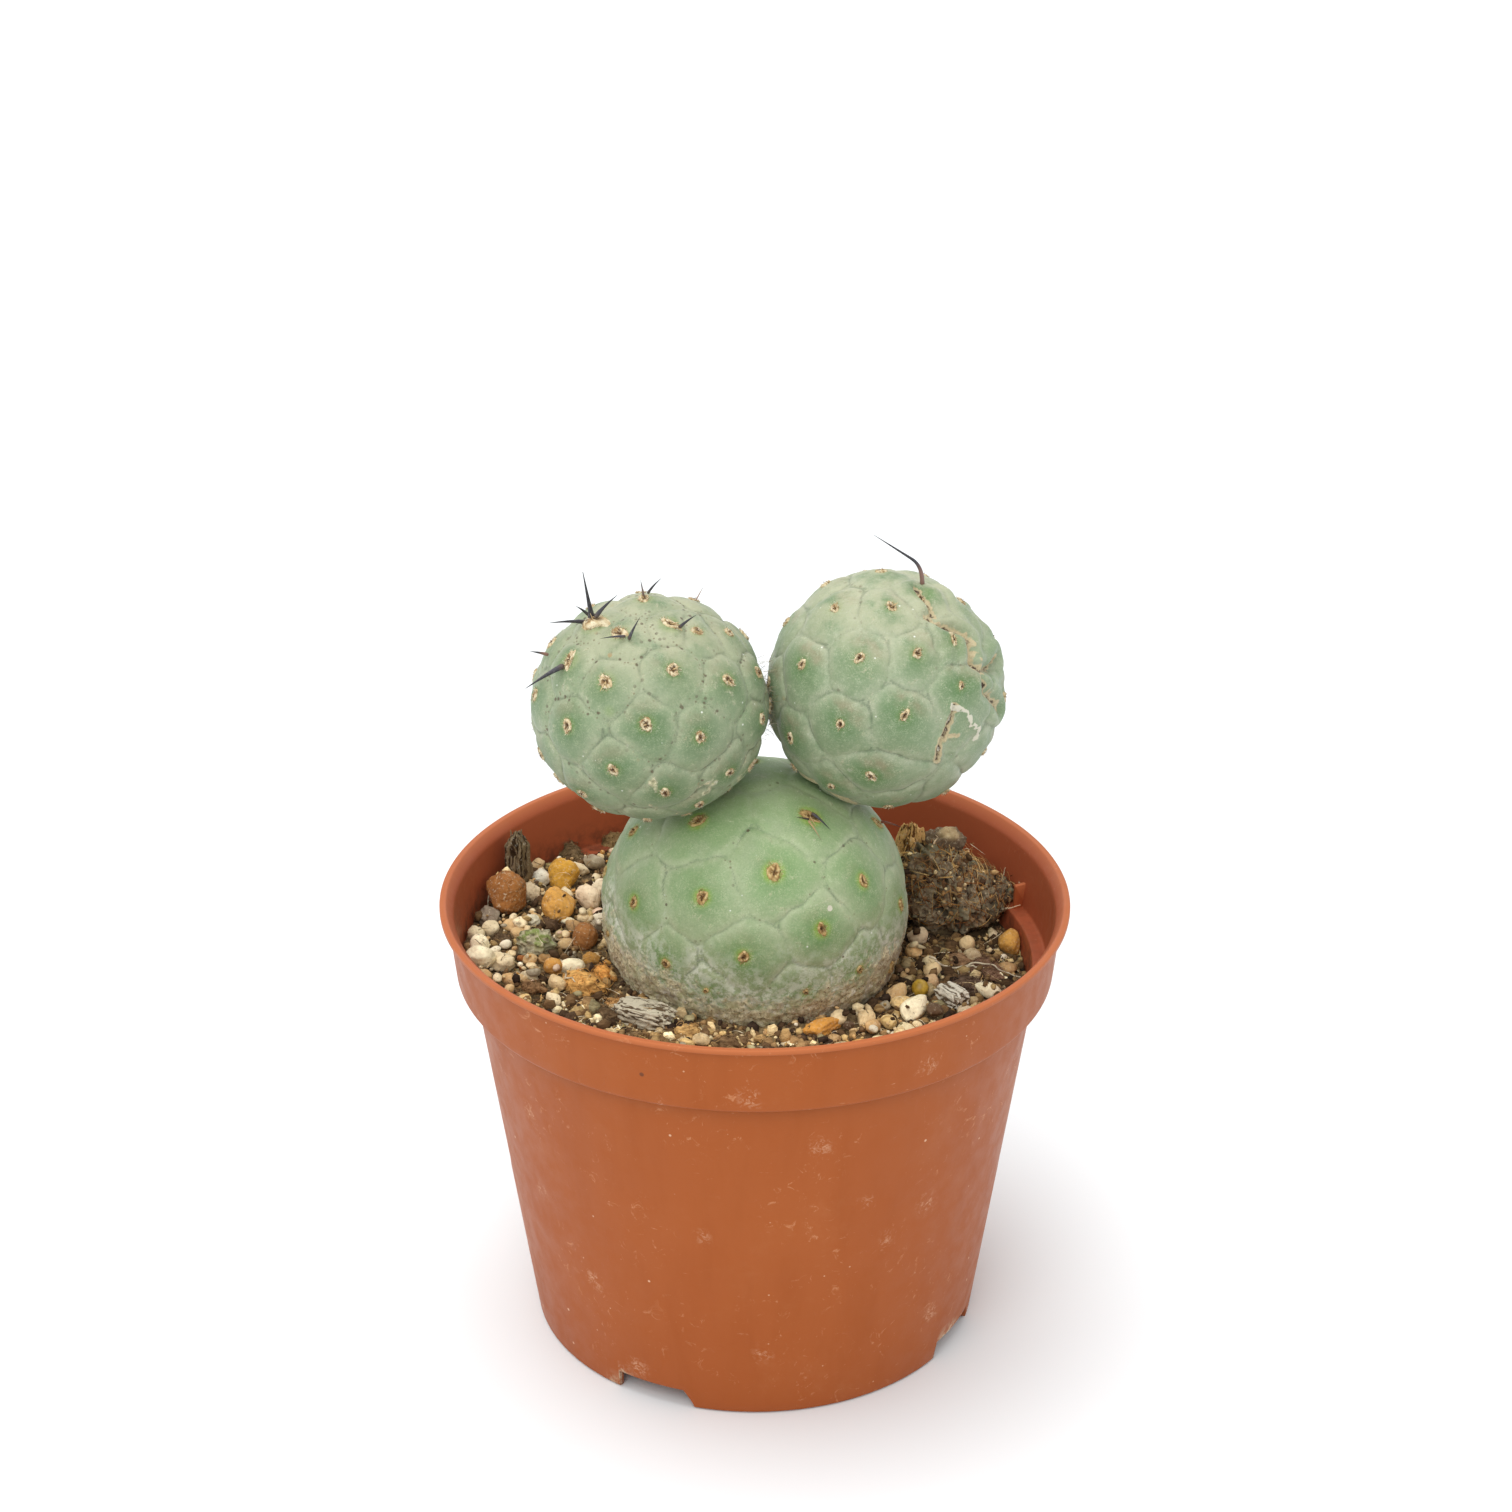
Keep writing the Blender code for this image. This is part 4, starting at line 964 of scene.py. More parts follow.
def add_areole(pile, rng, centre, normal, up, side, plump, count, tones, darks, rows=6, columns=18):
    """A low felted pad with a paler woolly rim, loose wool and dark bristles, within half axes up and side."""
    # The pad: heights and colours by how far out a point is.
    shares = np.repeat(np.linspace(0.0, 1.08, rows), columns)
    angles = np.tile(np.arange(columns) * 2.0 * math.pi / columns, rows)
    bulge = sum(size * np.sin(lobes * angles + rng.uniform(0.0, 6.0)) for size, lobes in ((0.12, 2.0), (0.10, 3.0)))
    spread = shares * (1.0 + bulge + rng.normal(0.0, 0.05, len(shares)))
    lift = 0.24 + 0.30 * np.exp(-(((shares - 0.70) / 0.22) ** 2)) - 0.42 * ramp(shares, 0.86, 1.08)
    lift += plump * (1.0 - shares**2) + rng.normal(0.0, 0.06, len(shares)) * (shares < 1.0)
    points = centre + up * (np.cos(angles) * spread)[:, None] + side * (np.sin(angles) * spread)[:, None]
    faces = triangles(ring_quads(np.arange(rows * columns).reshape(rows, columns)))
    cream = ramp(shares + rng.normal(0.0, 0.20, len(shares)), 0.18, 0.58)[:, None]
    pick = rng.integers(0, 4, len(shares))
    pile.add(points + normal * lift[:, None], faces, blend(darks[pick], tones[pick], cream))
    # Wool: short hairs that lean outwards from the rim.
    angle = rng.uniform(0.0, 2.0 * math.pi, count)
    share = rng.uniform(0.45, 1.0, count) ** 0.7
    out = up * np.cos(angle)[:, None] + side * np.sin(angle)[:, None]
    base = centre + out * share[:, None] + normal * 0.28
    lean = unit(unit(out) * rng.uniform(0.1, 1.0, (count, 1)) + normal * rng.uniform(0.2, 0.9, (count, 1))
                + rng.normal(0.0, 0.35, (count, 3)))
    tip = base + lean * rng.uniform(0.22, 0.62, (count, 1))
    pile.add_hairs(base, tip, rng.normal(0.0, 0.06, (count, 3)), rng.uniform(0.05, 0.10, count),
                   tones[rng.integers(0, 5, count)])
    # Bristles: a dark tuft in the middle.
    count = int(rng.integers(12, 24))
    base = centre + normal * 0.18 + up * rng.normal(0.0, 0.24, (count, 1)) + side * rng.normal(0.0, 0.24, (count, 1))
    tip = base + unit(normal + rng.normal(0.0, 0.40, (count, 3))) * rng.uniform(0.30, 0.85, (count, 1))
    pile.add_hairs(base, tip, rng.normal(0.0, 0.03, (count, 3)), rng.uniform(0.06, 0.10, count),
                   darks[rng.integers(0, 4, count)])


# ---------------------------------------------------------------- spines

def node_points(node):
    points = np.array([v.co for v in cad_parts[node].data.vertices]) / MM
    return np.unique(np.round(points, 4), axis=0)


def spine_path(node, foot):
    """Centres of a CAD spine's rings from its base to its tip, and its base radius."""
    points = node_points(node)
    middle = points.mean(0)
    axis = np.linalg.svd(points - middle)[2][0]
    if (foot - middle) @ axis > 0.0:
        axis = -axis
    t = (points - middle) @ axis
    t = (t - t.min()) / (t.max() - t.min())
    rings = [points[np.abs(t - k / 4.0) < 0.125] for k in range(5)]
    path = np.array([ring.mean(0) for ring in rings if len(ring)])
    return path, np.linalg.norm(rings[0] - rings[0].mean(0), axis=-1).mean()


def smooth_path(path, count):
    t = np.linspace(0.0, 1.0, len(path))
    fine = np.linspace(0.0, 1.0, count)
    return np.stack([np.polyval(np.polyfit(t, path[:, k], 2), fine) for k in range(3)], 1)


# Millimetres by which the two ends of a spine lie off its CAD spine, then how much wider some are than
# theirs, and how far the paler root colour of some reaches.
SPINE_SHIFTS = {
    "left_crown_spine_1": ((-0.1, 1.5, 0.5), (0.5, 0.0, 0.9)),
    "left_crown_spine_2": ((-0.4, 1.5, -0.8), (0.6, 0.0, 0.0)),
    "left_crown_spine_3": ((0.1, 1.5, 1.2), (0.4, 0.0, 0.9)),
    "left_crown_spine_4": ((-1.0, 1.5, -0.8), (0.2, 0.0, -1.0)),
    "lower_front_spine_1": ((0.3, 0.0, -0.2), (-1.3, 0.0, -1.1)),
    "lower_front_spine_2": ((0.0, 0.0, 0.0), (-0.4, 0.0, 0.0)),
}
SPINE_WIDTHS = {
    "left_crown_spine_1": 1.60, "left_crown_spine_3": 1.15, "left_back_spine_1": 0.5, "left_top_spine_2": 0.8,
    "lower_front_spine_2": 0.8,
}
SPINE_ROOTS = {
    "right_crown_spine": (0.30, (132, 100, 90)), "lower_side_spine": (0.85, (140, 84, 66)),
    "lower_front_spine_2": (1.0, (178, 148, 104)), "left_back_spine_1": (1.0, (176, 146, 132)),
    "left_side_spine_2": (0.45, (140, 104, 90)), "left_top_spine_2": (0.7, (128, 108, 104)),
}


def make_spines(material):
    rng = np.random.default_rng(5)
    for node in sorted(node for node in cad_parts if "spine" in node):
        centre = SEGMENTS[node.split("_")[0] + "_segment"]["centre"]
        rough, radius = spine_path(node, centre)
        if node in SPINE_SHIFTS:
            at_base, at_tip = (np.array(shift) for shift in SPINE_SHIFTS[node])
            share = np.linspace(0.0, 1.0, len(rough))[:, None]
            rough = rough + blend(at_base, at_tip, share)
        radius = radius * SPINE_WIDTHS.get(node, 1.0)
        base = rough[0] - unit(rough[1] - rough[0]) * 0.5 - unit(rough[0] - centre) * 0.25
        if node == "right_crown_spine":
            # It rises from the skin, bends over, and runs nearly straight to its tip.
            tip, radius = rough[-1], radius * 0.72
            base = rough[0] - unit(rough[0] - centre) * 1.0 + (-0.5, 0.0, -0.1)
            corner = base + np.array((0.1, 0.0, 3.3))
            bend = corner + (tip - corner) * 0.24
            t = np.linspace(0.0, 1.0, 13)[:, None]
            path = np.concatenate([(1 - t) ** 2 * base + 2 * (1 - t) * t * corner + t**2 * bend,
                                   bend + (tip - bend) * t[1:]])
        else:
            path = smooth_path(np.concatenate([base[None], rough]), 18)
        t = np.linspace(0.0, 1.0, len(path))
        radii = radius * (1.0 - 0.93 * t**1.15) * (1.0 + 0.03 * rng.normal(size=len(t)))
        radii[0] *= 0.9
        points, faces = tube(path, radii, 12)
        share = np.concatenate([np.repeat(t, 12), [0.0, 1.0]])[:, None]
        reach, root = SPINE_ROOTS.get(node, (0.12, (84, 70, 62)))
        tint = blend(srgb(70, 68, 76), srgb(34, 32, 36), share)
        tint = blend(tint, srgb(*root), ramp(share, reach + 0.12, reach * 0.5))
        add_piece(add_mesh(node + "_look", points, faces, material, tint=tint), "spine", node)
    # Short spinelets, straw-coloured but for one, that are too small to be pieces of their own.
    pile = Pile()
    small = (
        ("left_segment", -24, 36, (-30, -40, 2.0)), ("left_segment", -24, 36, (10, -10, 1.6)),
        ("left_segment", -69, 62, (40, 20, 2.2)), ("left_segment", -69, 62, (-40, 65, 2.2)),
        ("left_segment", -56, 40, (-20, -60, 1.6)), ("left_segment", 17, 43, (80, 30, 1.2)),
        ("left_segment", 50, 31, (20, -30, 1.5)), ("left_segment", -153, 85, (-20, 40, 1.8)),
        ("left_segment", 32, 69, (70, 10, 1.6)), ("right_segment", 5, 65, (80, 30, 1.4)),
        ("lower_segment", 43, 59, (20, -30, 2.4)), ("lower_segment", 40, 58, (-80, 5, 2.3)),
        ("left_segment", 0, 17, (-30, 10, 1.1)), ("right_segment", -54, 58, (60, 60, 1.5)),
    )
    for name, heading, height, (point_heading, point_height, length) in small:
        (place,), (normal,), _layers = skin(SEGMENTS[name], heading_vector(heading, height)[None])
        aim = unit(heading_vector(point_heading, point_height) + 0.25 * normal)
        path = place + normal * 0.2 + aim * (np.linspace(0.0, 1.0, 6)[:, None] * length)
        points, faces = tube(path, np.linspace(0.17, 0.03, 6), 7)
        pile.add(points, faces, srgb(70, 58, 52) if point_heading == -80 else srgb(196, 170, 124))
    pile.build("straw_spinelets", "spine", material)


# ---------------------------------------------------------------- stones and clods

def soil_height(x, y):
    flat = np.stack([x, y, 0.0 * x], -1)
    return SOIL_LEVEL - 0.5 - SOIL_SLOPE * x + 0.4 * fractal(flat, 11.0, 41, 2) + 0.30 * fractal(flat, 2.6, 42, 3)


def on_soil(x, y, lift):
    return np.array((x, y, soil_height(np.array([x]), np.array([y]))[0] + lift))


def inner_wall(z):
    """The pot's inner radius at a height."""
    return np.where(z > LEDGE, collar_radius(z), body_radius(z)) - WALL


def rock(directions, rng, facets=11, roughness=0.05, worn=0.4):
    """Points of a worn, many-sided stone that just fills a cube of side 2."""
    normals = unit(rng.normal(size=(facets, 3)))
    depths = rng.uniform(0.72, 1.0, facets)
    facing = directions @ normals.T
    reach = 1.0 / np.maximum(facing / depths, 0.35)
    reach = -np.log(np.exp(-9.0 * reach).sum(-1)) / 9.0
    reach = np.minimum(reach, 1.12) * (1.0 - worn) + worn
    seed = int(rng.integers(1, 9999))
    reach = reach * (1.0 + 0.08 * waves(directions, 2.2, seed) + roughness * fractal(directions, 0.7, seed + 3, 3, 0.6))
    points = directions * reach[:, None]
    return points / np.abs(points).max(0)


def measured_lump(node):
    """Centre, half sizes and sides of a CAD stone, with its long side lying along the soil."""
    points = node_points(node)
    centre = (points.min(0) + points.max(0)) / 2.0
    flat = points[:, :2] - points[:, :2].mean(0)
    long_side = np.append(np.linalg.svd(flat, full_matrices=False)[2][0], 0.0)
    sides = np.stack([long_side, np.cross((0.0, 0.0, 1.0), long_side), (0.0, 0.0, 1.0)])
    local = (points - centre) @ sides.T
    centre = centre + sides.T @ ((local.min(0) + local.max(0)) / 2.0)
    return centre, (local.max(0) - local.min(0)) / 2.0, sides


STONE_TINTS = {
    "ochre": (192, 142, 70), "orange": (172, 114, 58), "pink": (222, 200, 170), "mossy": (164, 158, 130),
    "cream": (232, 220, 188), "tan": (212, 186, 142), "ochre_pebble_3": (146, 98, 54), "ochre_pebble_1": (196, 146, 56),
    "orange_lump": (142, 92, 46), "orange_chip": (200, 142, 66),
}
# How much larger than its CAD body a stone is drawn, and how rough.
STONE_GROWTH = {"orange_chip": 1.3, "ochre": 1.10, "orange": 1.10, "cream": 1.08, "pink": 1.12}
STONE_ROUGHNESS = {"mossy": 0.14, "orange": 0.05, "ochre": 0.04}
BARK_TINTS = {"bark_chip": (200, 190, 166), "upright_bark": (126, 108, 82), "white_bark": (218, 210, 192)}


def make_lumps(looks):
    directions, faces = ball(5)
    rng = np.random.default_rng(77)
    for node in sorted(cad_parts):
        kind = frame_kind(node)
        if kind in (None, "peat"):
            continue
        centre, half, sides = measured_lump(node)
        name = node + "_look"
        if kind == "bead":
            reach = 1.0 + 0.015 * waves(directions, 1.2, 5)
            points = centre + ((directions * reach[:, None]) * half) @ sides
            add_piece(add_mesh(name, points, faces, looks["bead"]), "fertiliser", node)
        elif kind == "bark":
            make_bark(node, centre, half, sides, looks["bark"], rng)
        else:
            grown = STONE_GROWTH.get(node, STONE_GROWTH.get(kind, 1.02))
            facets, rough = int(rng.integers(9, 15)), STONE_ROUGHNESS.get(kind, 0.03)
            points = rock(directions, rng, facets, rough, 0.25 if kind == "orange" else 0.5) * half * grown
            if kind == "mossy":
                dent = 0.06 * np.abs(waves(directions, 0.5, 8)) + 0.05 * np.abs(waves(directions, 0.28, 9))
                points = points * (1.0 - dent)[:, None]
            tint = srgb(*STONE_TINTS.get(node, STONE_TINTS[kind])) * rng.uniform(0.92, 1.08)
            shade = np.broadcast_to(tint, (len(points), 3)).copy()
            if kind == "mossy":
                moss = ramp(fractal(directions, 0.9, 15, 3), 0.1, 0.6)[:, None] * ramp(directions[:, 2:], -0.2, 0.5)
                shade = blend(shade, srgb(112, 128, 62), 0.85 * moss)
                dark = ramp(fractal(directions, 0.5, 16, 3), 0.15, 0.5)[:, None]
                shade = blend(shade, srgb(72, 62, 46), 0.6 * dark)
            obj = add_mesh(name, centre + points @ sides, faces, looks["stone"], tint=shade)
            add_piece(obj, "cream_pumice" if kind == "cream" else kind + "_stone", node)


def frame_kind(node):
    """What a CAD stone is made of, from its name, or None for the other nodes."""
    kinds = ("bark", "bead", "peat", "ochre", "orange", "pink", "mossy", "cream", "tan")
    return next((kind for kind in kinds if kind in node), None)


def bark_shape(half, seed, upright=False):
    """A splintered chip with ribs along its grain: points and the rib layer."""
    directions, faces = sphere_grid(34)
    grain = 2 if upright else 0
    box = np.sign(directions) * np.abs(directions) ** 0.55
    box = box / np.abs(box).max(1, keepdims=True) * np.minimum(1.0, np.abs(directions).max(1, keepdims=True) * 1.25)
    points = box * half
    stretched = points.copy()
    stretched[:, grain] *= 0.16
    rib = np.clip(0.5 + 0.55 * waves(stretched, 0.85, seed) + 0.35 * waves(stretched, 0.42, seed + 1), 0.0, 1.0)
    split = np.abs(waves(stretched, 1.9, seed + 2))
    points = points * (1.0 + 0.12 * (rib[:, None] - 0.5)) - directions * (0.30 * ramp(split, 0.14, 0.0))[:, None]
    ends = np.abs(points[:, grain] / half[grain])
    points[:, grain] *= 1.0 + 0.16 * ramp(ends, 0.6, 1.0) * waves(stretched, 0.8, seed + 3)
    if upright:
        rise = points[:, 2:] / half[2]
        points[:, :2] *= 1.0 - 0.22 * rise + 0.20 * waves(points * (0.3, 0.3, 1.0), 3.0, seed + 8)[:, None]
        points[:, :1] += 0.35 * waves(points * (0.2, 0.2, 1.0), 4.0, seed + 9)[:, None]
    points += 0.10 * np.stack([fractal(points, 1.3, seed + 4 + k, 2) for k in range(3)], 1)
    return points, faces, rib * ramp(split, 0.0, 0.12)


def make_bark(node, centre, half, sides, material, rng):
    points, faces, rib = bark_shape(half * 1.02, int(rng.integers(1, 999)), node == "upright_bark")
    tint = np.broadcast_to(srgb(*BARK_TINTS[node]), (len(points), 3))
    obj = add_mesh(node + "_look", centre + points @ sides, faces, material, rib=rib, tint=tint)
    add_piece(obj, "bark", node)


def keep_in_pot(points, gap=0.25):
    """Pulls points that reach past the wall back inside it."""
    reach = np.linalg.norm(points[:, :2], axis=-1)
    limit = inner_wall(points[:, 2]) - gap
    points = points.copy()
    points[:, :2] *= np.minimum(1.0, limit / np.maximum(reach, 1e-6))[:, None]
    return points


def make_peat(looks):
    """The big fibrous clod beside the cactus, with strands, crumbs, wood bits and a grey stone on it."""
    directions, faces = sphere_grid(84)
    centre, half, sides = measured_lump("peat_clump")
    rng = np.random.default_rng(91)
    points = rock(directions, rng, 9, 0.0) * (1.0 + 0.08 * waves(directions, 1.3, 92))[:, None] * half
    rough = 0.80 * fractal(points, 4.6, 93, 2, 0.6) + 0.45 * (1.0 - 2.0 * np.abs(fractal(points, 2.4, 94, 2, 0.6)))
    pits = ramp(waves(points, 3.3, 95), 0.45, 0.95)
    points = points + directions * (rough + 0.15 * fractal(points, 0.8, 96, 2) - 1.2 * pits)[:, None]
    # The hollow layer paints shade into the pits and low parts.
    hollow = np.clip(0.8 * pits + 0.7 * ramp(rough, -0.5, -1.3), 0.0, 1.0)
    points = keep_off_cactus(keep_in_pot(centre + points @ sides))
    # It slopes down to the right, and is darker at both ends than in the middle.
    across = points[:, 0] - centre[0]
    points[:, 2] -= ramp(across, 1.0, 10.0) * np.maximum(points[:, 2] - centre[2] + 2.0, 0.0) * 0.28
    # The foot is undercut, so that it overhangs a dark hollow.
    foot = 1.0 - 0.34 * ramp(centre[2] - points[:, 2], 2.0, 6.5)
    points[:, :2] = centre[:2] + (points[:, :2] - centre[:2]) * foot[:, None]
    gloom = np.maximum(ramp(across, -3.5, -7.5), 0.8 * ramp(across, 5.0, 9.0))
    clod = add_mesh("peat_clump_look", points, faces, looks["peat"], hollow=hollow, gloom=gloom)
    add_piece(clod, "peat", "peat_clump")
    normals = unit(directions / half) @ sides
    top = np.flatnonzero((normals[:, 2] > -0.25) & (points[:, 2] > soil_height(points[:, 0], points[:, 1])))
    crumbs = Pile()
    low, low_faces = ball(1)
    tones = srgb((72, 54, 40), (88, 66, 46), (108, 82, 56), (132, 102, 68), (156, 128, 88), (196, 178, 138),
                 (54, 42, 34), (96, 92, 74))
    for k in rng.choice(top, 620):
        size = 0.18 * 4.6 ** (rng.uniform() ** 1.5)
        shape = low * rng.uniform(0.5, 1.2, (1, 3)) * size * rng.uniform(0.75, 1.25, (len(low), 1))
        tint = tones[rng.integers(0, len(tones))]
        crumbs.add(keep_in_pot(points[k] + normals[k] * size * 0.3 + shape, 0.1), low_faces, tint)
    count = 1300
    picks = rng.choice(top, count)
    flow = unit(np.cross(normals[picks], rng.normal(size=(count, 3)) + (0.9, 0.5, 0.3)))
    base = points[picks] + normals[picks] * 0.1
    tip = base + flow * rng.uniform(0.8, 4.2, (count, 1)) + normals[picks] * rng.uniform(-0.2, 0.5, (count, 1))
    bow = normals[picks] * rng.uniform(0.1, 0.5, (count, 1))
    fibre = srgb((178, 142, 88), (146, 108, 64), (196, 166, 114), (110, 80, 52), (136, 88, 50), (88, 66, 46))
    crumbs.add_hairs(base, keep_in_pot(tip, 0.1), bow, rng.uniform(0.08, 0.24, count),
                     fibre[rng.integers(0, 6, count)], 4)
    # Pale roots that stick up at the back and the right.
    for lean, long in (((0.55, -0.1, 0.8), 2.4), ((0.8, 0.2, 0.55), 3.0), ((0.3, 0.2, 0.9), 2.0),
                       ((0.9, -0.4, 0.4), 2.6), ((0.7, -0.2, 0.7), 2.8)):
        k = top[np.argmax(points[top] @ unit(np.array(lean) + rng.normal(0.0, 0.18, 3)))]
        t = np.linspace(0.0, 1.0, 12)[:, None]
        curl = np.hstack([np.sin(5 * t + k), np.cos(4 * t + k), 0 * t])
        wave = np.array(lean) * t * long + 0.5 * curl * t
        root, root_faces = tube(keep_in_pot(points[k] + wave, 0.2), np.linspace(0.16, 0.05, 12), 6)
        crumbs.add(root, root_faces, srgb(188, 168, 142))
    crumbs.build("peat_clump_fibres", "peat", looks["crumb"])
    # Wood splinters standing on top, and a rounded grey stone.
    for k, (dx, dy, dz, long, wide, lean) in enumerate((
        (-7.2, 0.0, 9.8, 3.0, 1.05, 0.12), (-5.4, -0.2, 10.0, 3.2, 1.05, -0.05), (-3.8, 0.2, 9.4, 2.7, 0.95, -0.2),
        (-6.2, -1.2, 8.4, 2.6, 0.9, 0.3),
    )):
        chip, chip_faces, rib = bark_shape(np.array((wide, wide * 0.6, long)), 300 + k, True)
        chip[:, 0] += chip[:, 2] * lean
        tint = np.broadcast_to(srgb(222, 178, 116), (len(chip), 3))
        place = centre + np.array((dx, dy, dz))
        name, chip = f"peat_splinter_{k + 1}", keep_in_pot(place + chip)
        add_piece(add_mesh(name, chip, chip_faces, looks["bark"], rib=rib, tint=tint), "bark")
    directions, faces = ball(5)
    stone = rock(directions, rng, 12, 0.10, 0.5) * np.array((4.1, 2.7, 3.2))
    place = centre + np.array((-0.2, 0.2, 9.3))
    # Painted light: the stone is painted paler where it faces up and to the front.
    pale = ramp(directions @ unit(np.array((0.3, -0.3, 0.9))), 0.72, 0.95)[:, None]
    shade = blend(srgb(100, 84, 66), srgb(170, 148, 112), pale)
    stone = add_mesh("grey_stone_on_peat", keep_in_pot(place + stone), faces, looks["stone"], tint=shade)
    add_piece(stone, "mossy_stone")


def keep_off_cactus(points, gap=0.4):
    spec = SEGMENTS["lower_segment"]
    away = points - spec["centre"]
    reach = np.linalg.norm(away, axis=-1)
    directions = away / reach[:, None]
    limit = 1.0 / np.linalg.norm(directions / half_sizes(spec, directions), axis=-1) + gap
    level = np.hypot(away[:, 0], away[:, 1])
    push = np.maximum(0.0, limit - reach)
    points = points.copy()
    points[:, :2] += (away[:, :2] / np.maximum(level, 1e-6)[:, None]) * push[:, None] * 1.3
    return points


class Ground:
    """A height map of the soil and what lies on it, for dropping stones."""

    STEP, HALF = 0.25, 52.0

    def __init__(self):
        ticks = np.arange(-self.HALF, self.HALF, self.STEP)
        self.x, self.y = np.meshgrid(ticks, ticks, indexing="ij")
        self.soil = soil_height(self.x, self.y)
        self.height = self.soil.copy()
        cactus = SEGMENTS["lower_segment"]
        away = np.stack([self.x, self.y, self.soil], -1) - cactus["centre"]
        self.closed = np.linalg.norm(away / (np.array((26.0, 26.0, 28.5))), axis=-1) < 1.0
        self.closed |= np.hypot(self.x, self.y) > inner_wall(self.soil) - 0.35
        self.taken = self.closed.copy()

    def patch(self, x, y, reach):
        low = np.clip(((np.array((x, y)) - reach + self.HALF) / self.STEP).astype(int), 0, self.x.shape[0] - 2)
        high = np.clip(((np.array((x, y)) + reach + self.HALF) / self.STEP).astype(int) + 2, 1, self.x.shape[0])
        return np.s_[low[0]:high[0], low[1]:high[1]]

    def footprint(self, x, y, half, side):
        """The cells round an oval, and how far out in it each lies: 1 on its edge."""
        patch = self.patch(x, y, half[:2].max())
        dx, dy = self.x[patch] - x, self.y[patch] - y
        u, v = dx * side[0] + dy * side[1], dy * side[0] - dx * side[1]
        return patch, (u / half[0]) ** 2 + (v / half[1]) ** 2

    def drop(self, x, y, half, side, sink, ceiling):
        """Rests an oval on the ground and returns its centre, or None where there is no room."""
        patch, inside = self.footprint(x, y, half, side)
        shown = inside < 1.0
        if not shown.any() or (self.taken[patch] & shown).mean() > 0.02:
            return None
        dome = half[2] * np.sqrt(1.0 - np.where(shown, inside, 1.0))
        z = (self.height[patch] + dome * 0.8)[shown].max() - sink
        if z - self.soil[patch][shown].mean() > ceiling:
            return None
        top = np.where(shown, z + dome, -1e9)
        self.height[patch] = np.maximum(self.height[patch], top)
        return np.array((x, y, z))

    def add_fixed(self, centre, half, sides):
        patch, inside = self.footprint(centre[0], centre[1], half, sides[0])
        dome = half[2] * np.sqrt(np.maximum(0.0, 1.0 - inside))
        top = np.where(inside < 1.0, centre[2] + dome, -1e9)
        self.height[patch] = np.maximum(self.height[patch], top)
        self.taken[patch] |= inside < 0.8

    def at(self, x, y):
        i = np.clip(((x + self.HALF) / self.STEP).round().astype(int), 0, self.x.shape[0] - 1)
        j = np.clip(((y + self.HALF) / self.STEP).round().astype(int), 0, self.x.shape[0] - 1)
        return self.height[i, j], self.soil[i, j], self.closed[i, j]


# How stony the surface is at each heading: dense gravel on the left, peat at the front and right.
GRAVEL_HEADINGS = (-180, -165, -75, -62, -45, 0, 24, 34, 66, 76, 112, 135, 180)
GRAVEL_SHARES = (0.60, 0.90, 1.00, 0.50, 0.16, 0.10, 0.30, 0.75, 0.55, 0.18, 0.15, 0.50, 0.60)

# Stones and clods between the larger pieces: place, half sizes, turn, colour, and roughness.
MORE_STONES = (
    (-45.2, 10.4, 2.9, 2.2, 1.8, 70, (132, 118, 102), 0.12), (-38.0, 8.9, 1.9, 1.6, 1.4, 20, (204, 196, 172), 0.12),
    (-42.4, -6.0, 2.8, 2.0, 1.6, 40, (206, 188, 154), 0.10), (-27.4, -2.6, 1.6, 1.4, 1.3, 0, (176, 130, 66), 0.08),
    (-34.6, -3.6, 2.1, 1.3, 1.1, 10, (158, 122, 76), 0.12), (27.9, 10.0, 1.9, 1.7, 1.7, 0, (206, 184, 152), 0.04),
    (26.9, 5.2, 1.6, 1.4, 1.4, 30, (222, 186, 132), 0.05), (22.0, -19.2, 1.9, 1.4, 1.2, 60, (206, 176, 120), 0.06),
    (24.8, -21.6, 1.7, 1.4, 1.2, 20, (214, 196, 156), 0.06), (17.0, -26.4, 1.7, 1.3, 1.1, 45, (200, 150, 84), 0.05),
    (20.0, -26.0, 1.5, 1.2, 1.0, 0, (212, 192, 148), 0.06), (-38.8, 20.0, 2.2, 1.7, 1.8, 80, (204, 186, 156), 0.12),
    (-31.0, 29.5, 2.0, 1.6, 1.5, 30, (208, 190, 158), 0.08), (-26.5, 23.6, 2.1, 1.7, 1.7, 10, (216, 200, 172), 0.06),
    (-24.0, 30.0, 1.8, 1.5, 1.3, 60, (196, 170, 130), 0.08), (-47.0, 3.6, 1.8, 1.5, 1.4, 80, (206, 190, 156), 0.10),
    (-37.8, -17.2, 1.4, 1.1, 1.0, 0, (208, 176, 120), 0.06), (-12.0, 37.0, 2.2, 1.7, 1.5, 0, (202, 180, 144), 0.08),
    (22.0, 31.0, 1.9, 1.6, 1.4, 40, (190, 150, 104), 0.08), (35.0, -14.5, 1.9, 1.5, 1.2, 50, (198, 178, 148), 0.06),
    (-38.8, 30.5, 1.9, 1.6, 1.7, 0, (214, 184, 140), 0.05), (-37.2, 25.6, 2.1, 1.8, 1.6, 20, (214, 208, 190), 0.10),
    (-32.2, -19.6, 1.1, 0.9, 0.8, 0, (222, 206, 166), 0.04), (-40.6, -11.4, 1.5, 1.2, 1.1, 30, (196, 160, 112), 0.06),
    (-31.8, 10.6, 1.4, 0.8, 0.7, 0, (222, 212, 180), 0.06), (36.8, 4.0, 1.7, 1.4, 1.4, 0, (186, 166, 132), 0.05),
    (29.6, -5.6, 1.5, 1.4, 1.3, 0, (196, 164, 124), 0.03), (29.6, 1.6, 1.8, 1.5, 1.4, 60, (224, 206, 166), 0.05),
    (24.2, -12.6, 2.2, 1.5, 1.3, 10, (224, 192, 136), 0.06),
)
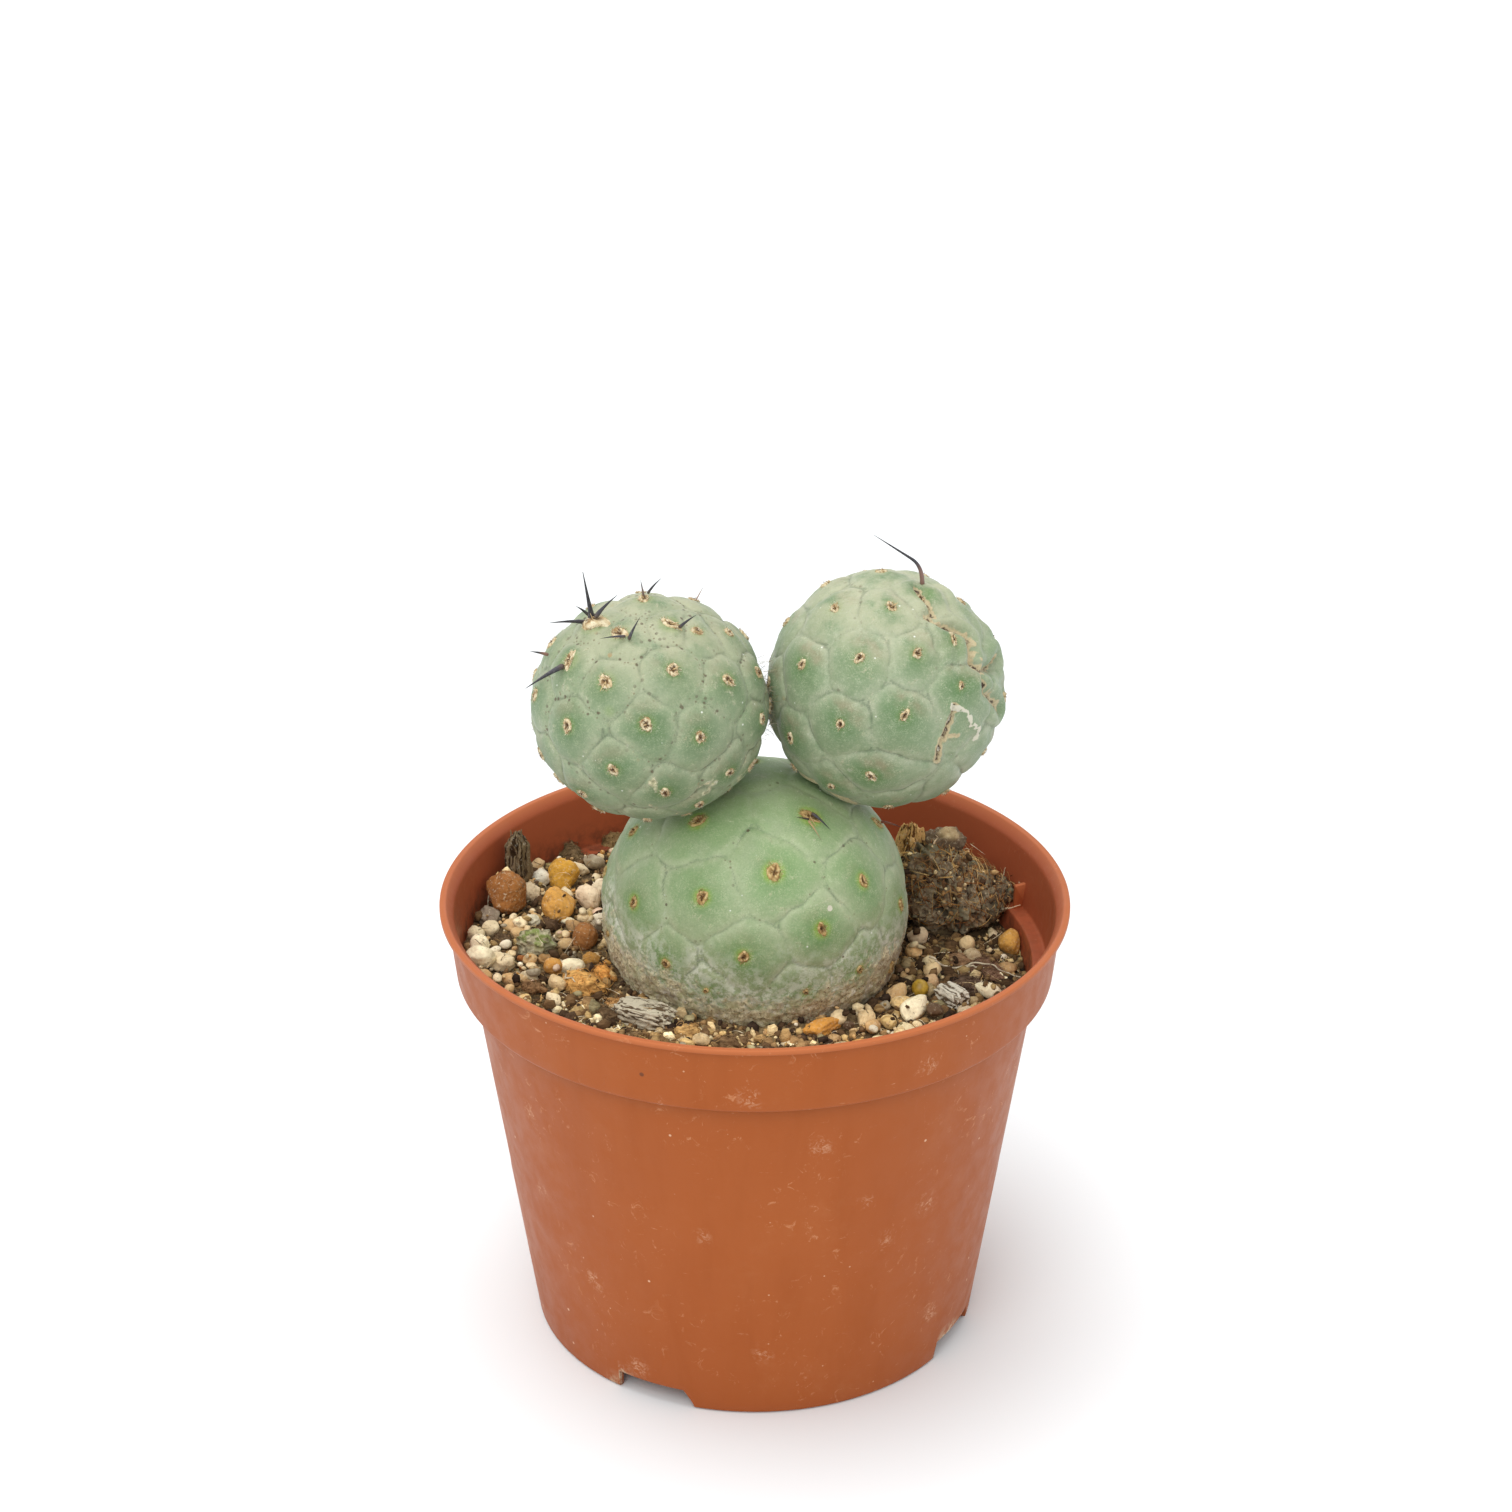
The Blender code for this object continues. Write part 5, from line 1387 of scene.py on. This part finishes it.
CLODS = (
    (-28.2, -11.8, 4.0, 2.6, 2.0, 35, (176, 136, 80)), (-25.4, -7.4, 1.9, 1.5, 1.5, 60, (182, 132, 70)),
    (-33.0, 36.0, 4.2, 2.0, 2.3, 42, (92, 76, 54)), (-25.0, 41.0, 3.6, 1.8, 1.8, 30, (112, 92, 62)),
    (38.6, -0.6, 4.2, 3.2, 1.1, 80, (104, 80, 64)), (34.5, 3.6, 2.6, 2.0, 1.0, 20, (122, 96, 72)),
    (-22.5, -16.8, 1.8, 1.2, 1.0, 20, (156, 118, 74)), (-42.5, 2.6, 2.4, 1.6, 1.2, 80, (84, 68, 50)),
    (-35.5, 8.6, 2.2, 1.6, 1.0, 0, (78, 60, 44)), (6.0, -29.5, 3.0, 2.0, 0.9, 0, (116, 92, 62)),
    (-14.0, -30.5, 2.6, 1.8, 0.9, 20, (124, 98, 66)), (44.0, -5.0, 2.2, 1.6, 0.9, 90, (96, 74, 58)),
    (-10.5, -25.8, 2.4, 1.7, 1.3, 20, (162, 130, 84)), (-3.5, -27.6, 2.8, 1.6, 1.2, -10, (104, 82, 58)),
    (2.5, -32.0, 2.4, 1.5, 1.1, 10, (146, 116, 74)), (10.5, -30.5, 2.4, 1.6, 1.0, 0, (92, 74, 54)),
    (-19.0, -27.0, 2.2, 1.6, 1.1, 40, (100, 80, 56)), (-7.5, -34.0, 2.5, 1.7, 1.0, 0, (86, 68, 50)),
    (-16.0, -35.5, 2.2, 1.6, 1.2, 30, (156, 128, 86)), (4.5, -37.5, 2.4, 1.5, 1.0, 0, (90, 72, 52)),
    (14.5, -35.0, 2.0, 1.5, 1.1, 50, (136, 108, 72)), (36.0, -6.0, 3.0, 2.4, 1.3, 20, (84, 68, 56)),
    (41.0, -9.0, 2.8, 2.0, 1.2, 60, (92, 74, 58)), (33.0, -9.5, 2.2, 1.7, 1.2, 0, (74, 58, 48)),
    (-24.0, -20.5, 2.2, 1.6, 1.2, 30, (92, 74, 54)), (-36.5, -14.0, 2.0, 1.5, 1.2, 10, (110, 84, 58)),
)


SHADE_HEADINGS = (-180, -100, -45, 0, 30, 60, 75, 112, 135, 180)
SHADES = (0.9, 0.8, 0.95, 1.20, 1.08, 0.85, 0.64, 0.64, 0.85, 0.9)


def peat_shade(x, y):
    """How dark the peat is at each heading."""
    return np.interp(np.degrees(np.arctan2(x, -y)), SHADE_HEADINGS, SHADES)


def gravel(x, y):
    return np.interp(np.degrees(np.arctan2(x, -y)), GRAVEL_HEADINGS, GRAVEL_SHARES)


def random_turns(rng, count):
    """Random rotation matrices."""
    a = unit(rng.normal(size=(count, 3)))
    b = unit(np.cross(a, rng.normal(size=(count, 3))))
    return np.stack([a, b, np.cross(a, b)], 1)


def make_grit(ground, looks):
    """Stones of three sizes dropped over the soil, largest first."""
    rng = np.random.default_rng(12)
    palette = srgb(
        (224, 206, 170), (212, 190, 150), (196, 164, 118), (178, 128, 64), (158, 98, 50), (214, 184, 158),
        (150, 138, 116), (92, 72, 54), (232, 222, 198), (186, 150, 104),
    )
    weights = np.array((0.20, 0.17, 0.17, 0.07, 0.03, 0.05, 0.09, 0.05, 0.09, 0.08))
    sizes = (
        ("coarse_grit", 4, 84, 1.25, 2.20, 1.6, 0.45),
        ("grit", 3, 150, 0.60, 1.15, 2.0, 0.28),
        ("fine_grit", 2, 420, 0.26, 0.58, 2.2, 0.10),
    )
    for name, subdivisions, wanted, small, large, ceiling, sink in sizes:
        directions, faces = ball(subdivisions)
        shapes = [rock(directions, rng, int(rng.integers(8, 14)), 0.04) for _k in range(14)]
        pile = Pile()
        made = 0
        for x, y, long, wide, high, turn, colour, rough in MORE_STONES if name == "coarse_grit" else ():
            half = np.array((long, wide, high))
            centre = on_soil(x, y, high * 0.45)
            sides = spin(math.radians(-turn))
            points = (rock(directions, rng, int(rng.integers(9, 14)), rough) * half) @ sides + centre
            pile.add(keep_in_pot(points, 0.12), faces, srgb(*colour))
            ground.add_fixed(centre, half, sides)
        for _try in range(wanted * 14):
            radius = 50.0 * math.sqrt(rng.uniform(0.0, 1.0))
            turn = rng.uniform(0.0, 2.0 * math.pi)
            x, y = radius * math.cos(turn), radius * math.sin(turn)
            dense = gravel(x, y) ** 2 if name == "coarse_grit" else gravel(x, y)
            dense = 0.12 + 0.88 * dense if name == "fine_grit" else dense
            if rng.uniform() > dense:
                continue
            size = small * (large / small) ** (rng.uniform() ** 1.3)
            half = size * np.array((rng.uniform(1.0, 1.4), rng.uniform(0.8, 1.05), rng.uniform(0.65, 0.95)))
            angle = rng.uniform(0.0, math.pi)
            side = np.array((math.cos(angle), math.sin(angle)))
            centre = ground.drop(x, y, half, side, sink * size, ceiling)
            if centre is None:
                continue
            tilt = unit(np.array((side[0], side[1], rng.normal(0.0, 0.22))))
            across = unit(np.cross((0.0, 0.0, 1.0), tilt))
            sides = np.stack([tilt, across, np.cross(tilt, across)])
            mixed = shapes[rng.integers(0, len(shapes))] @ random_turns(rng, 1)[0]
            points = (mixed * half) @ sides + centre
            tint = palette[rng.choice(len(palette), p=weights)] * rng.uniform(0.80, 1.12)
            pile.add(keep_in_pot(points, 0.12), faces, tint)
            made += 1
            if made == wanted:
                break
        pile.build(name, "tan_stone", looks["stone"])


def make_crumbs(ground, looks):
    """Peat crumbs, fibres and bits of root over the soil."""
    rng = np.random.default_rng(23)
    count = 12000
    radius = 50.0 * np.sqrt(rng.uniform(0.0, 1.0, count))
    turn = rng.uniform(0.0, 2.0 * np.pi, count)
    x, y = radius * np.cos(turn), radius * np.sin(turn)
    top, soil, closed = ground.at(x, y)
    chance = (1.0 - 0.35 * gravel(x, y)) * np.where(top - soil > 0.8, 0.05, 1.0)
    keep = ~closed & (rng.uniform(size=count) < chance)
    x, y, top = x[keep], y[keep], top[keep]
    count = len(x)
    low, low_faces = ball(1)
    size = 0.26 * (4.6 ** rng.uniform(0.0, 1.0, count) ** 1.7)
    half = size[:, None] * rng.uniform(0.55, 1.35, (count, 3))
    shape = low[None] * rng.uniform(0.72, 1.25, (count, len(low), 1)) * half[:, None]
    shape = shape @ random_turns(rng, count)
    place = np.stack([x, y, top + size * 0.25], -1)
    points = (shape + place[:, None]).reshape(-1, 3)
    faces = (low_faces[None] + (np.arange(count) * len(low))[:, None, None]).reshape(-1, 3)
    tones = srgb(
        (66, 50, 36), (84, 64, 44), (104, 80, 54), (126, 100, 68), (150, 122, 82), (172, 146, 100), (52, 40, 32),
        (200, 178, 136), (140, 130, 98), (214, 198, 160),
    )
    share = np.array((0.16, 0.14, 0.12, 0.12, 0.11, 0.10, 0.10, 0.06, 0.05, 0.04))
    tint = tones[rng.choice(len(tones), count, p=share)] * rng.uniform(0.7, 1.2, (count, 1)) * peat_shade(x, y)[:, None]
    pile = Pile()
    pile.add(keep_in_pot(points, 0.1), faces, np.repeat(tint, len(low), 0))
    pile.build("peat_crumbs", "soil", looks["crumb"], flat=True)
    # Fibres and thin roots that lie over everything.
    count = 2600
    radius = 49.0 * np.sqrt(rng.uniform(0.25, 1.0, count))
    turn = rng.uniform(0.0, 2.0 * np.pi, count)
    x, y = radius * np.cos(turn), radius * np.sin(turn)
    keep = ~ground.at(x, y)[2]
    x, y = x[keep], y[keep]
    count = len(x)
    angle = rng.uniform(0.0, 2.0 * np.pi, count)
    length = 0.9 * (5.5 ** rng.uniform(0.0, 1.0, count) ** 1.8)
    x2, y2 = x + np.cos(angle) * length, y + np.sin(angle) * length
    top, soil, _closed = ground.at(x, y)
    top2, _soil, closed2 = ground.at(x2, y2)
    keep = ~closed2 & (np.abs(top2 - top) < length * 0.8) & ((top - soil < 0.8) | (rng.uniform(size=count) < 0.3))
    base = np.stack([x, y, top + 0.12], -1)[keep]
    tip = np.stack([x2, y2, top2 + 0.22], -1)[keep]
    count = len(base)
    bend = rng.normal(0.0, 0.25, (count, 3)) + (0.0, 0.0, 0.25)
    width = rng.uniform(0.07, 0.20, count)
    points, faces = hairs(base, tip, bend, width, 5)
    fibre = srgb((164, 134, 88), (122, 96, 62), (192, 168, 126), (92, 72, 50), (206, 196, 172))
    pile = Pile()
    pile.add(keep_in_pot(points, 0.1), faces, np.repeat(fibre[rng.integers(0, 5, count)], 18, 0))
    # Little curled flakes of dead skin and wood.
    for _k in range(1500):
        spot, away = 49.0 * math.sqrt(rng.uniform(0.3, 1.0)), rng.uniform(0.0, 2.0 * math.pi)
        if rng.uniform() < 0.6 * gravel(spot * math.cos(away), spot * math.sin(away)):
            continue
        fx, fy = np.array([spot * math.cos(away)]), np.array([spot * math.sin(away)])
        top, soil, closed = ground.at(fx, fy)
        if closed[0] or top[0] - soil[0] > 0.7:
            continue
        u, v = np.meshgrid(np.linspace(-1, 1, 5), np.linspace(-1, 1, 4), indexing="ij")
        long, wide = 0.35 * 3.6 ** rng.uniform(), rng.uniform(0.16, 0.5)
        sheet = np.stack([u * long, v * wide * (1.0 - 0.35 * u**2), 0.25 * u**2 - 0.35 * v**2], -1).reshape(-1, 3)
        sheet = sheet + rng.normal(0.0, 0.05, sheet.shape)
        both = np.concatenate([sheet, sheet - (0.0, 0.0, 0.09)])
        index = np.arange(20).reshape(5, 4)
        upper = triangles(grid_quads(index))
        rim = np.concatenate([index[:, 0], index[-1, 1:], index[-2::-1, -1], index[0, -2:0:-1]])
        nxt = np.roll(rim, -1)
        wall = np.concatenate([np.stack([rim, rim + 20, nxt + 20], -1), np.stack([rim, nxt + 20, nxt], -1)])
        turned = both @ unit(np.eye(3) + rng.normal(0.0, 0.25, (3, 3))) @ spin(rng.uniform(0.0, 2.0 * math.pi))
        place = np.array((fx[0], fy[0], top[0] + 0.3))
        tone = ((196, 174, 128), (166, 134, 86), (128, 100, 64), (214, 202, 170), (92, 72, 52), (146, 132, 90),
                (112, 88, 60))[rng.integers(0, 7)]
        faces = np.concatenate([upper, upper[:, ::-1] + 20, wall])
        pile.add(keep_in_pot(place + turned, 0.1), faces, srgb(*tone))
    # Pale roots: one lies across the right side, others curl up at the left wall.
    for route in (
        ((29.4, 0.6), (32.5, 0.0), (35.0, 0.6), (38.0, -0.4), (41.0, -1.2), (44.5, -2.6)),
        ((35.0, 0.6), (36.8, -1.2), (38.6, -2.0)), ((-45.5, 21.0), (-46.4, 18.6), (-45.2, 16.4), (-46.0, 14.2)),
        ((-30.5, -8.0), (-31.5, -11.0), (-29.4, -13.4)),
    ):
        corners = np.array(route)
        t = np.linspace(0.0, len(corners) - 1.0, 12 * len(corners))
        x = np.interp(t, np.arange(len(corners)), corners[:, 0]) + 0.15 * np.sin(9.0 * t)
        y = np.interp(t, np.arange(len(corners)), corners[:, 1]) + 0.15 * np.cos(7.0 * t)
        z = np.convolve(np.pad(ground.at(x, y)[0], 3, mode="edge"), np.ones(7) / 7.0, mode="valid") + 0.55
        root, root_faces = tube(keep_in_pot(np.stack([x, y, z], -1), 0.3), 0.22 - 0.13 * t / t[-1], 6)
        pile.add(root, root_faces, srgb(176, 166, 146))
    pile.build("soil_fibres_and_flakes", "soil", looks["crumb"])


def make_clods(ground, looks):
    """Small fibrous clods of peat among the stones."""
    rng = np.random.default_rng(61)
    directions, faces = ball(4)
    pile = Pile()
    for x, y, long, wide, high, turn, colour in CLODS:
        half = np.array((long, wide, high))
        sides = spin(math.radians(-turn))
        centre = on_soil(x, y, high * 0.35)
        points = rock(directions, rng, 9, 0.0) * half
        points = points * (1.0 + 0.14 * fractal(points, 1.5, int(rng.integers(1, 999)), 3, 0.7))[:, None]
        placed = keep_in_pot(points @ sides + centre, 0.2)
        shade = 1.0 + 0.25 * fractal(points, 0.9, 5, 2)[:, None]
        pile.add(placed, faces, srgb(*colour) * np.clip(shade, 0.4, 1.6))
        ground.add_fixed(centre, half * 0.9, sides)
        count = int(26 * long * wide)
        picks = rng.integers(0, len(placed), count)
        normal = unit(directions[picks] / half) @ sides
        flow = unit(np.cross(normal, rng.normal(size=(count, 3))))
        base = placed[picks] + normal * 0.05
        tip = base + flow * rng.uniform(0.5, 2.0, (count, 1)) + normal * rng.uniform(-0.1, 0.4, (count, 1))
        pile.add_hairs(base, keep_in_pot(tip, 0.1), normal * 0.15, rng.uniform(0.07, 0.18, count),
                       srgb(*colour) * rng.uniform(0.7, 1.7, (count, 1)), 3)
    pile.build("small_peat_clods", "peat", looks["crumb"])


def make_cobweb(material):
    """Wisps caught where the two upper segments touch."""
    rng = np.random.default_rng(19)
    left, right = SEGMENTS["left_segment"], SEGMENTS["right_segment"]
    a, b = left["centre"], right["centre"]
    along = unit(b - a)
    middle = a + along * 19.4
    side = unit(np.cross(along, (0.0, 0.0, 1.0)))
    up = np.cross(side, along)
    count = 170
    turn = rng.uniform(0.0, 2.0 * np.pi, count)[:, None]
    reach = rng.uniform(2.5, 7.0, (count, 1))
    place = middle + (side * np.cos(turn) + up * np.sin(turn)) * reach
    gap = reach**2 / 19.4 * 0.5
    base = place - along * gap * rng.uniform(0.6, 1.05, (count, 1)) + rng.normal(0.0, 0.3, (count, 3))
    tip = place + along * gap * rng.uniform(0.2, 1.05, (count, 1)) + rng.normal(0.0, 0.8, (count, 3))
    bend, width = rng.normal(0.0, 0.3, (count, 3)), rng.uniform(0.04, 0.09, count)
    tones = srgb((186, 172, 140), (150, 132, 98), (112, 92, 66), (206, 198, 176))
    pile = Pile()
    pile.add_hairs(base, tip, bend, width, tones[rng.integers(0, 4, count)], 4)
    pile.build("cobweb", "areole_wool", material)


def spin(angle):
    c, s = math.cos(angle), math.sin(angle)
    return np.array(((c, s, 0.0), (-s, c, 0.0), (0.0, 0.0, 1.0)))


def make_soil(material):
    """The soil as one closed body: a rough top, sides along the pot's inside and a flat bottom."""
    columns = 360
    turn = np.arange(columns) * 2.0 * np.pi / columns
    radii = np.linspace(0.0, 1.0, 110)[1:]
    rows = []
    edge = inner_wall(soil_height(47.0 * np.sin(turn), -47.0 * np.cos(turn))) - 0.3
    for share in radii:
        row = polar(share * edge, turn, 0.0)
        row[:, 2] = soil_height(row[:, 0], row[:, 1])
        rows.append(row)
    brink = rows[-1][:, 2]
    for z_limit, gap in ((LEDGE + 0.25, None), (LEDGE + 0.25, 0.0)):
        z = np.minimum(brink - 0.02, z_limit)
        radius = edge if gap is None else body_radius(np.minimum(z, LEDGE)) - WALL - 0.3
        rows.append(polar(radius, turn, z))
    for z in (50.0, 30.0, FLOOR_HIGH + 0.3):
        rows.append(polar(body_radius(z) - WALL - 0.3, turn, z))
    points = np.concatenate(rows + [np.array(((0.0, 0.0, float(soil_height(np.zeros(1), np.zeros(1))[0])),
                                              (0.0, 0.0, FLOOR_HIGH + 0.3)))])
    index = np.arange(len(rows) * columns).reshape(len(rows), columns)
    right = np.roll(index, -1, 1)
    faces = [triangles(ring_quads(index))]
    top, bottom = len(points) - 2, len(points) - 1
    faces.append(np.stack([index[0], right[0], np.full(columns, top)], -1))
    faces.append(np.stack([right[-1], index[-1], np.full(columns, bottom)], -1))
    shade = peat_shade(points[:, 0], points[:, 1])
    add_piece(add_mesh("soil_look", points, np.concatenate(faces), material, shade=shade), "soil", "soil")


# ---------------------------------------------------------------- stage

# Metres, degrees and, for the lens and film, millimetres.
FLOOR_HALF, FLOOR_DROP = 30.0, -0.0002
KEY_PLACE, KEY_SIZE, KEY_ENERGY = (-0.22, -0.79, 0.83), 0.70, 3.6
TOP_PLACE, TOP_ANGLE, TOP_ENERGY = (-0.50, 0.20, 3.00), 0.70, 1.28
AIM_HEIGHT, SKY_STRENGTH = 0.08, 0.90
CAMERA_PLACE, CAMERA_TILT = (0.0, -0.510, 0.344), 64.70
LENS, FILM, SHIFT = 82.1, 36.0, 0.00084


def make_stage():
    mesh = bpy.data.meshes.new("floor")
    corners = [(x * FLOOR_HALF, y * FLOOR_HALF, FLOOR_DROP) for x, y in ((-1, -1), (1, -1), (1, 1), (-1, 1))]
    mesh.from_pydata(corners, [], [(0, 1, 2, 3)])
    mesh.materials.append(floor_look())
    floor = bpy.data.objects.new("floor", mesh)
    bpy.context.scene.collection.objects.link(floor)
    world = bpy.data.worlds.new("studio")
    world.use_nodes = True
    world.node_tree.nodes["Background"].inputs["Color"].default_value = (1.0, 1.0, 1.0, 1.0)
    world.node_tree.nodes["Background"].inputs["Strength"].default_value = SKY_STRENGTH
    bpy.context.scene.world = world
    key = add_light("key", "AREA", KEY_PLACE)
    key.shape, key.size, key.energy = "DISK", KEY_SIZE, KEY_ENERGY
    top = add_light("top", "SUN", TOP_PLACE)
    top.angle, top.energy = TOP_ANGLE, TOP_ENERGY
    data = bpy.data.cameras.new("camera")
    data.lens, data.sensor_width, data.shift_x = LENS, FILM, SHIFT
    data.clip_start, data.clip_end = 0.01, 100.0
    camera = bpy.data.objects.new("camera", data)
    camera.location = CAMERA_PLACE
    camera.rotation_euler = (math.radians(CAMERA_TILT), 0.0, 0.0)
    bpy.context.scene.collection.objects.link(camera)
    bpy.context.scene.camera = camera
    bpy.context.scene.view_settings.view_transform = "Standard"


def add_light(name, kind, place):
    """A lamp at this place, aimed at the middle of the plant; its data, to be set."""
    data = bpy.data.lights.new(name, kind)
    light = bpy.data.objects.new(name, data)
    light.location = place
    aim = np.array((0.0, 0.0, AIM_HEIGHT)) - np.array(place)
    light.rotation_euler = (math.acos(-aim[2] / np.linalg.norm(aim)), 0.0, math.atan2(aim[1], aim[0]) - math.pi / 2.0)
    bpy.context.scene.collection.objects.link(light)
    return data


def main():
    pale, green = (162, 182, 154), (146, 172, 138)
    looks = {
        "left_segment": skin_look("left_skin", (pale, green, (92, 134, 84), (192, 204, 180), (104, 120, 98)),
                                  (0.635, 0.62, 0.525), speckle=0.66, rust=0.12, yellow=0.15, tinged=0.35),
        "right_segment": skin_look("right_skin", (pale, green, (98, 142, 88), (198, 208, 188), (112, 130, 108)),
                                   (0.655, 0.645, 0.55), speckle=0.30, rust=0.06, yellow=0.10, tinged=0.65),
        "lower_segment": skin_look("lower_skin", ((160, 182, 150), (140, 172, 130), (102, 148, 88), (182, 198, 172),
                                                  (98, 118, 98)), (0.865, 0.825, 0.69), speckle=0.12, yellow=0.60,
                                   tinged=0.15, painted_top_light=0.25, top_light_tone=(176, 206, 158)),
        "stone": stone_look(), "crumb": crumb_look(), "peat": peat_look(), "bark": bark_look(), "bead": bead_look(),
    }
    plastic = pot_look()
    make_pot(plastic)
    make_lug(plastic)
    make_segments(looks)
    wool = wool_look()
    make_areoles(wool)
    make_cobweb(wool)
    make_spines(spine_look())
    make_lumps(looks)
    make_peat(looks)
    ground = Ground()
    for node in sorted(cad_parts):
        if frame_kind(node):
            ground.add_fixed(*measured_lump(node))
    make_clods(ground, looks)
    make_grit(ground, looks)
    make_crumbs(ground, looks)
    make_soil(soil_look())
    make_stage()


main()
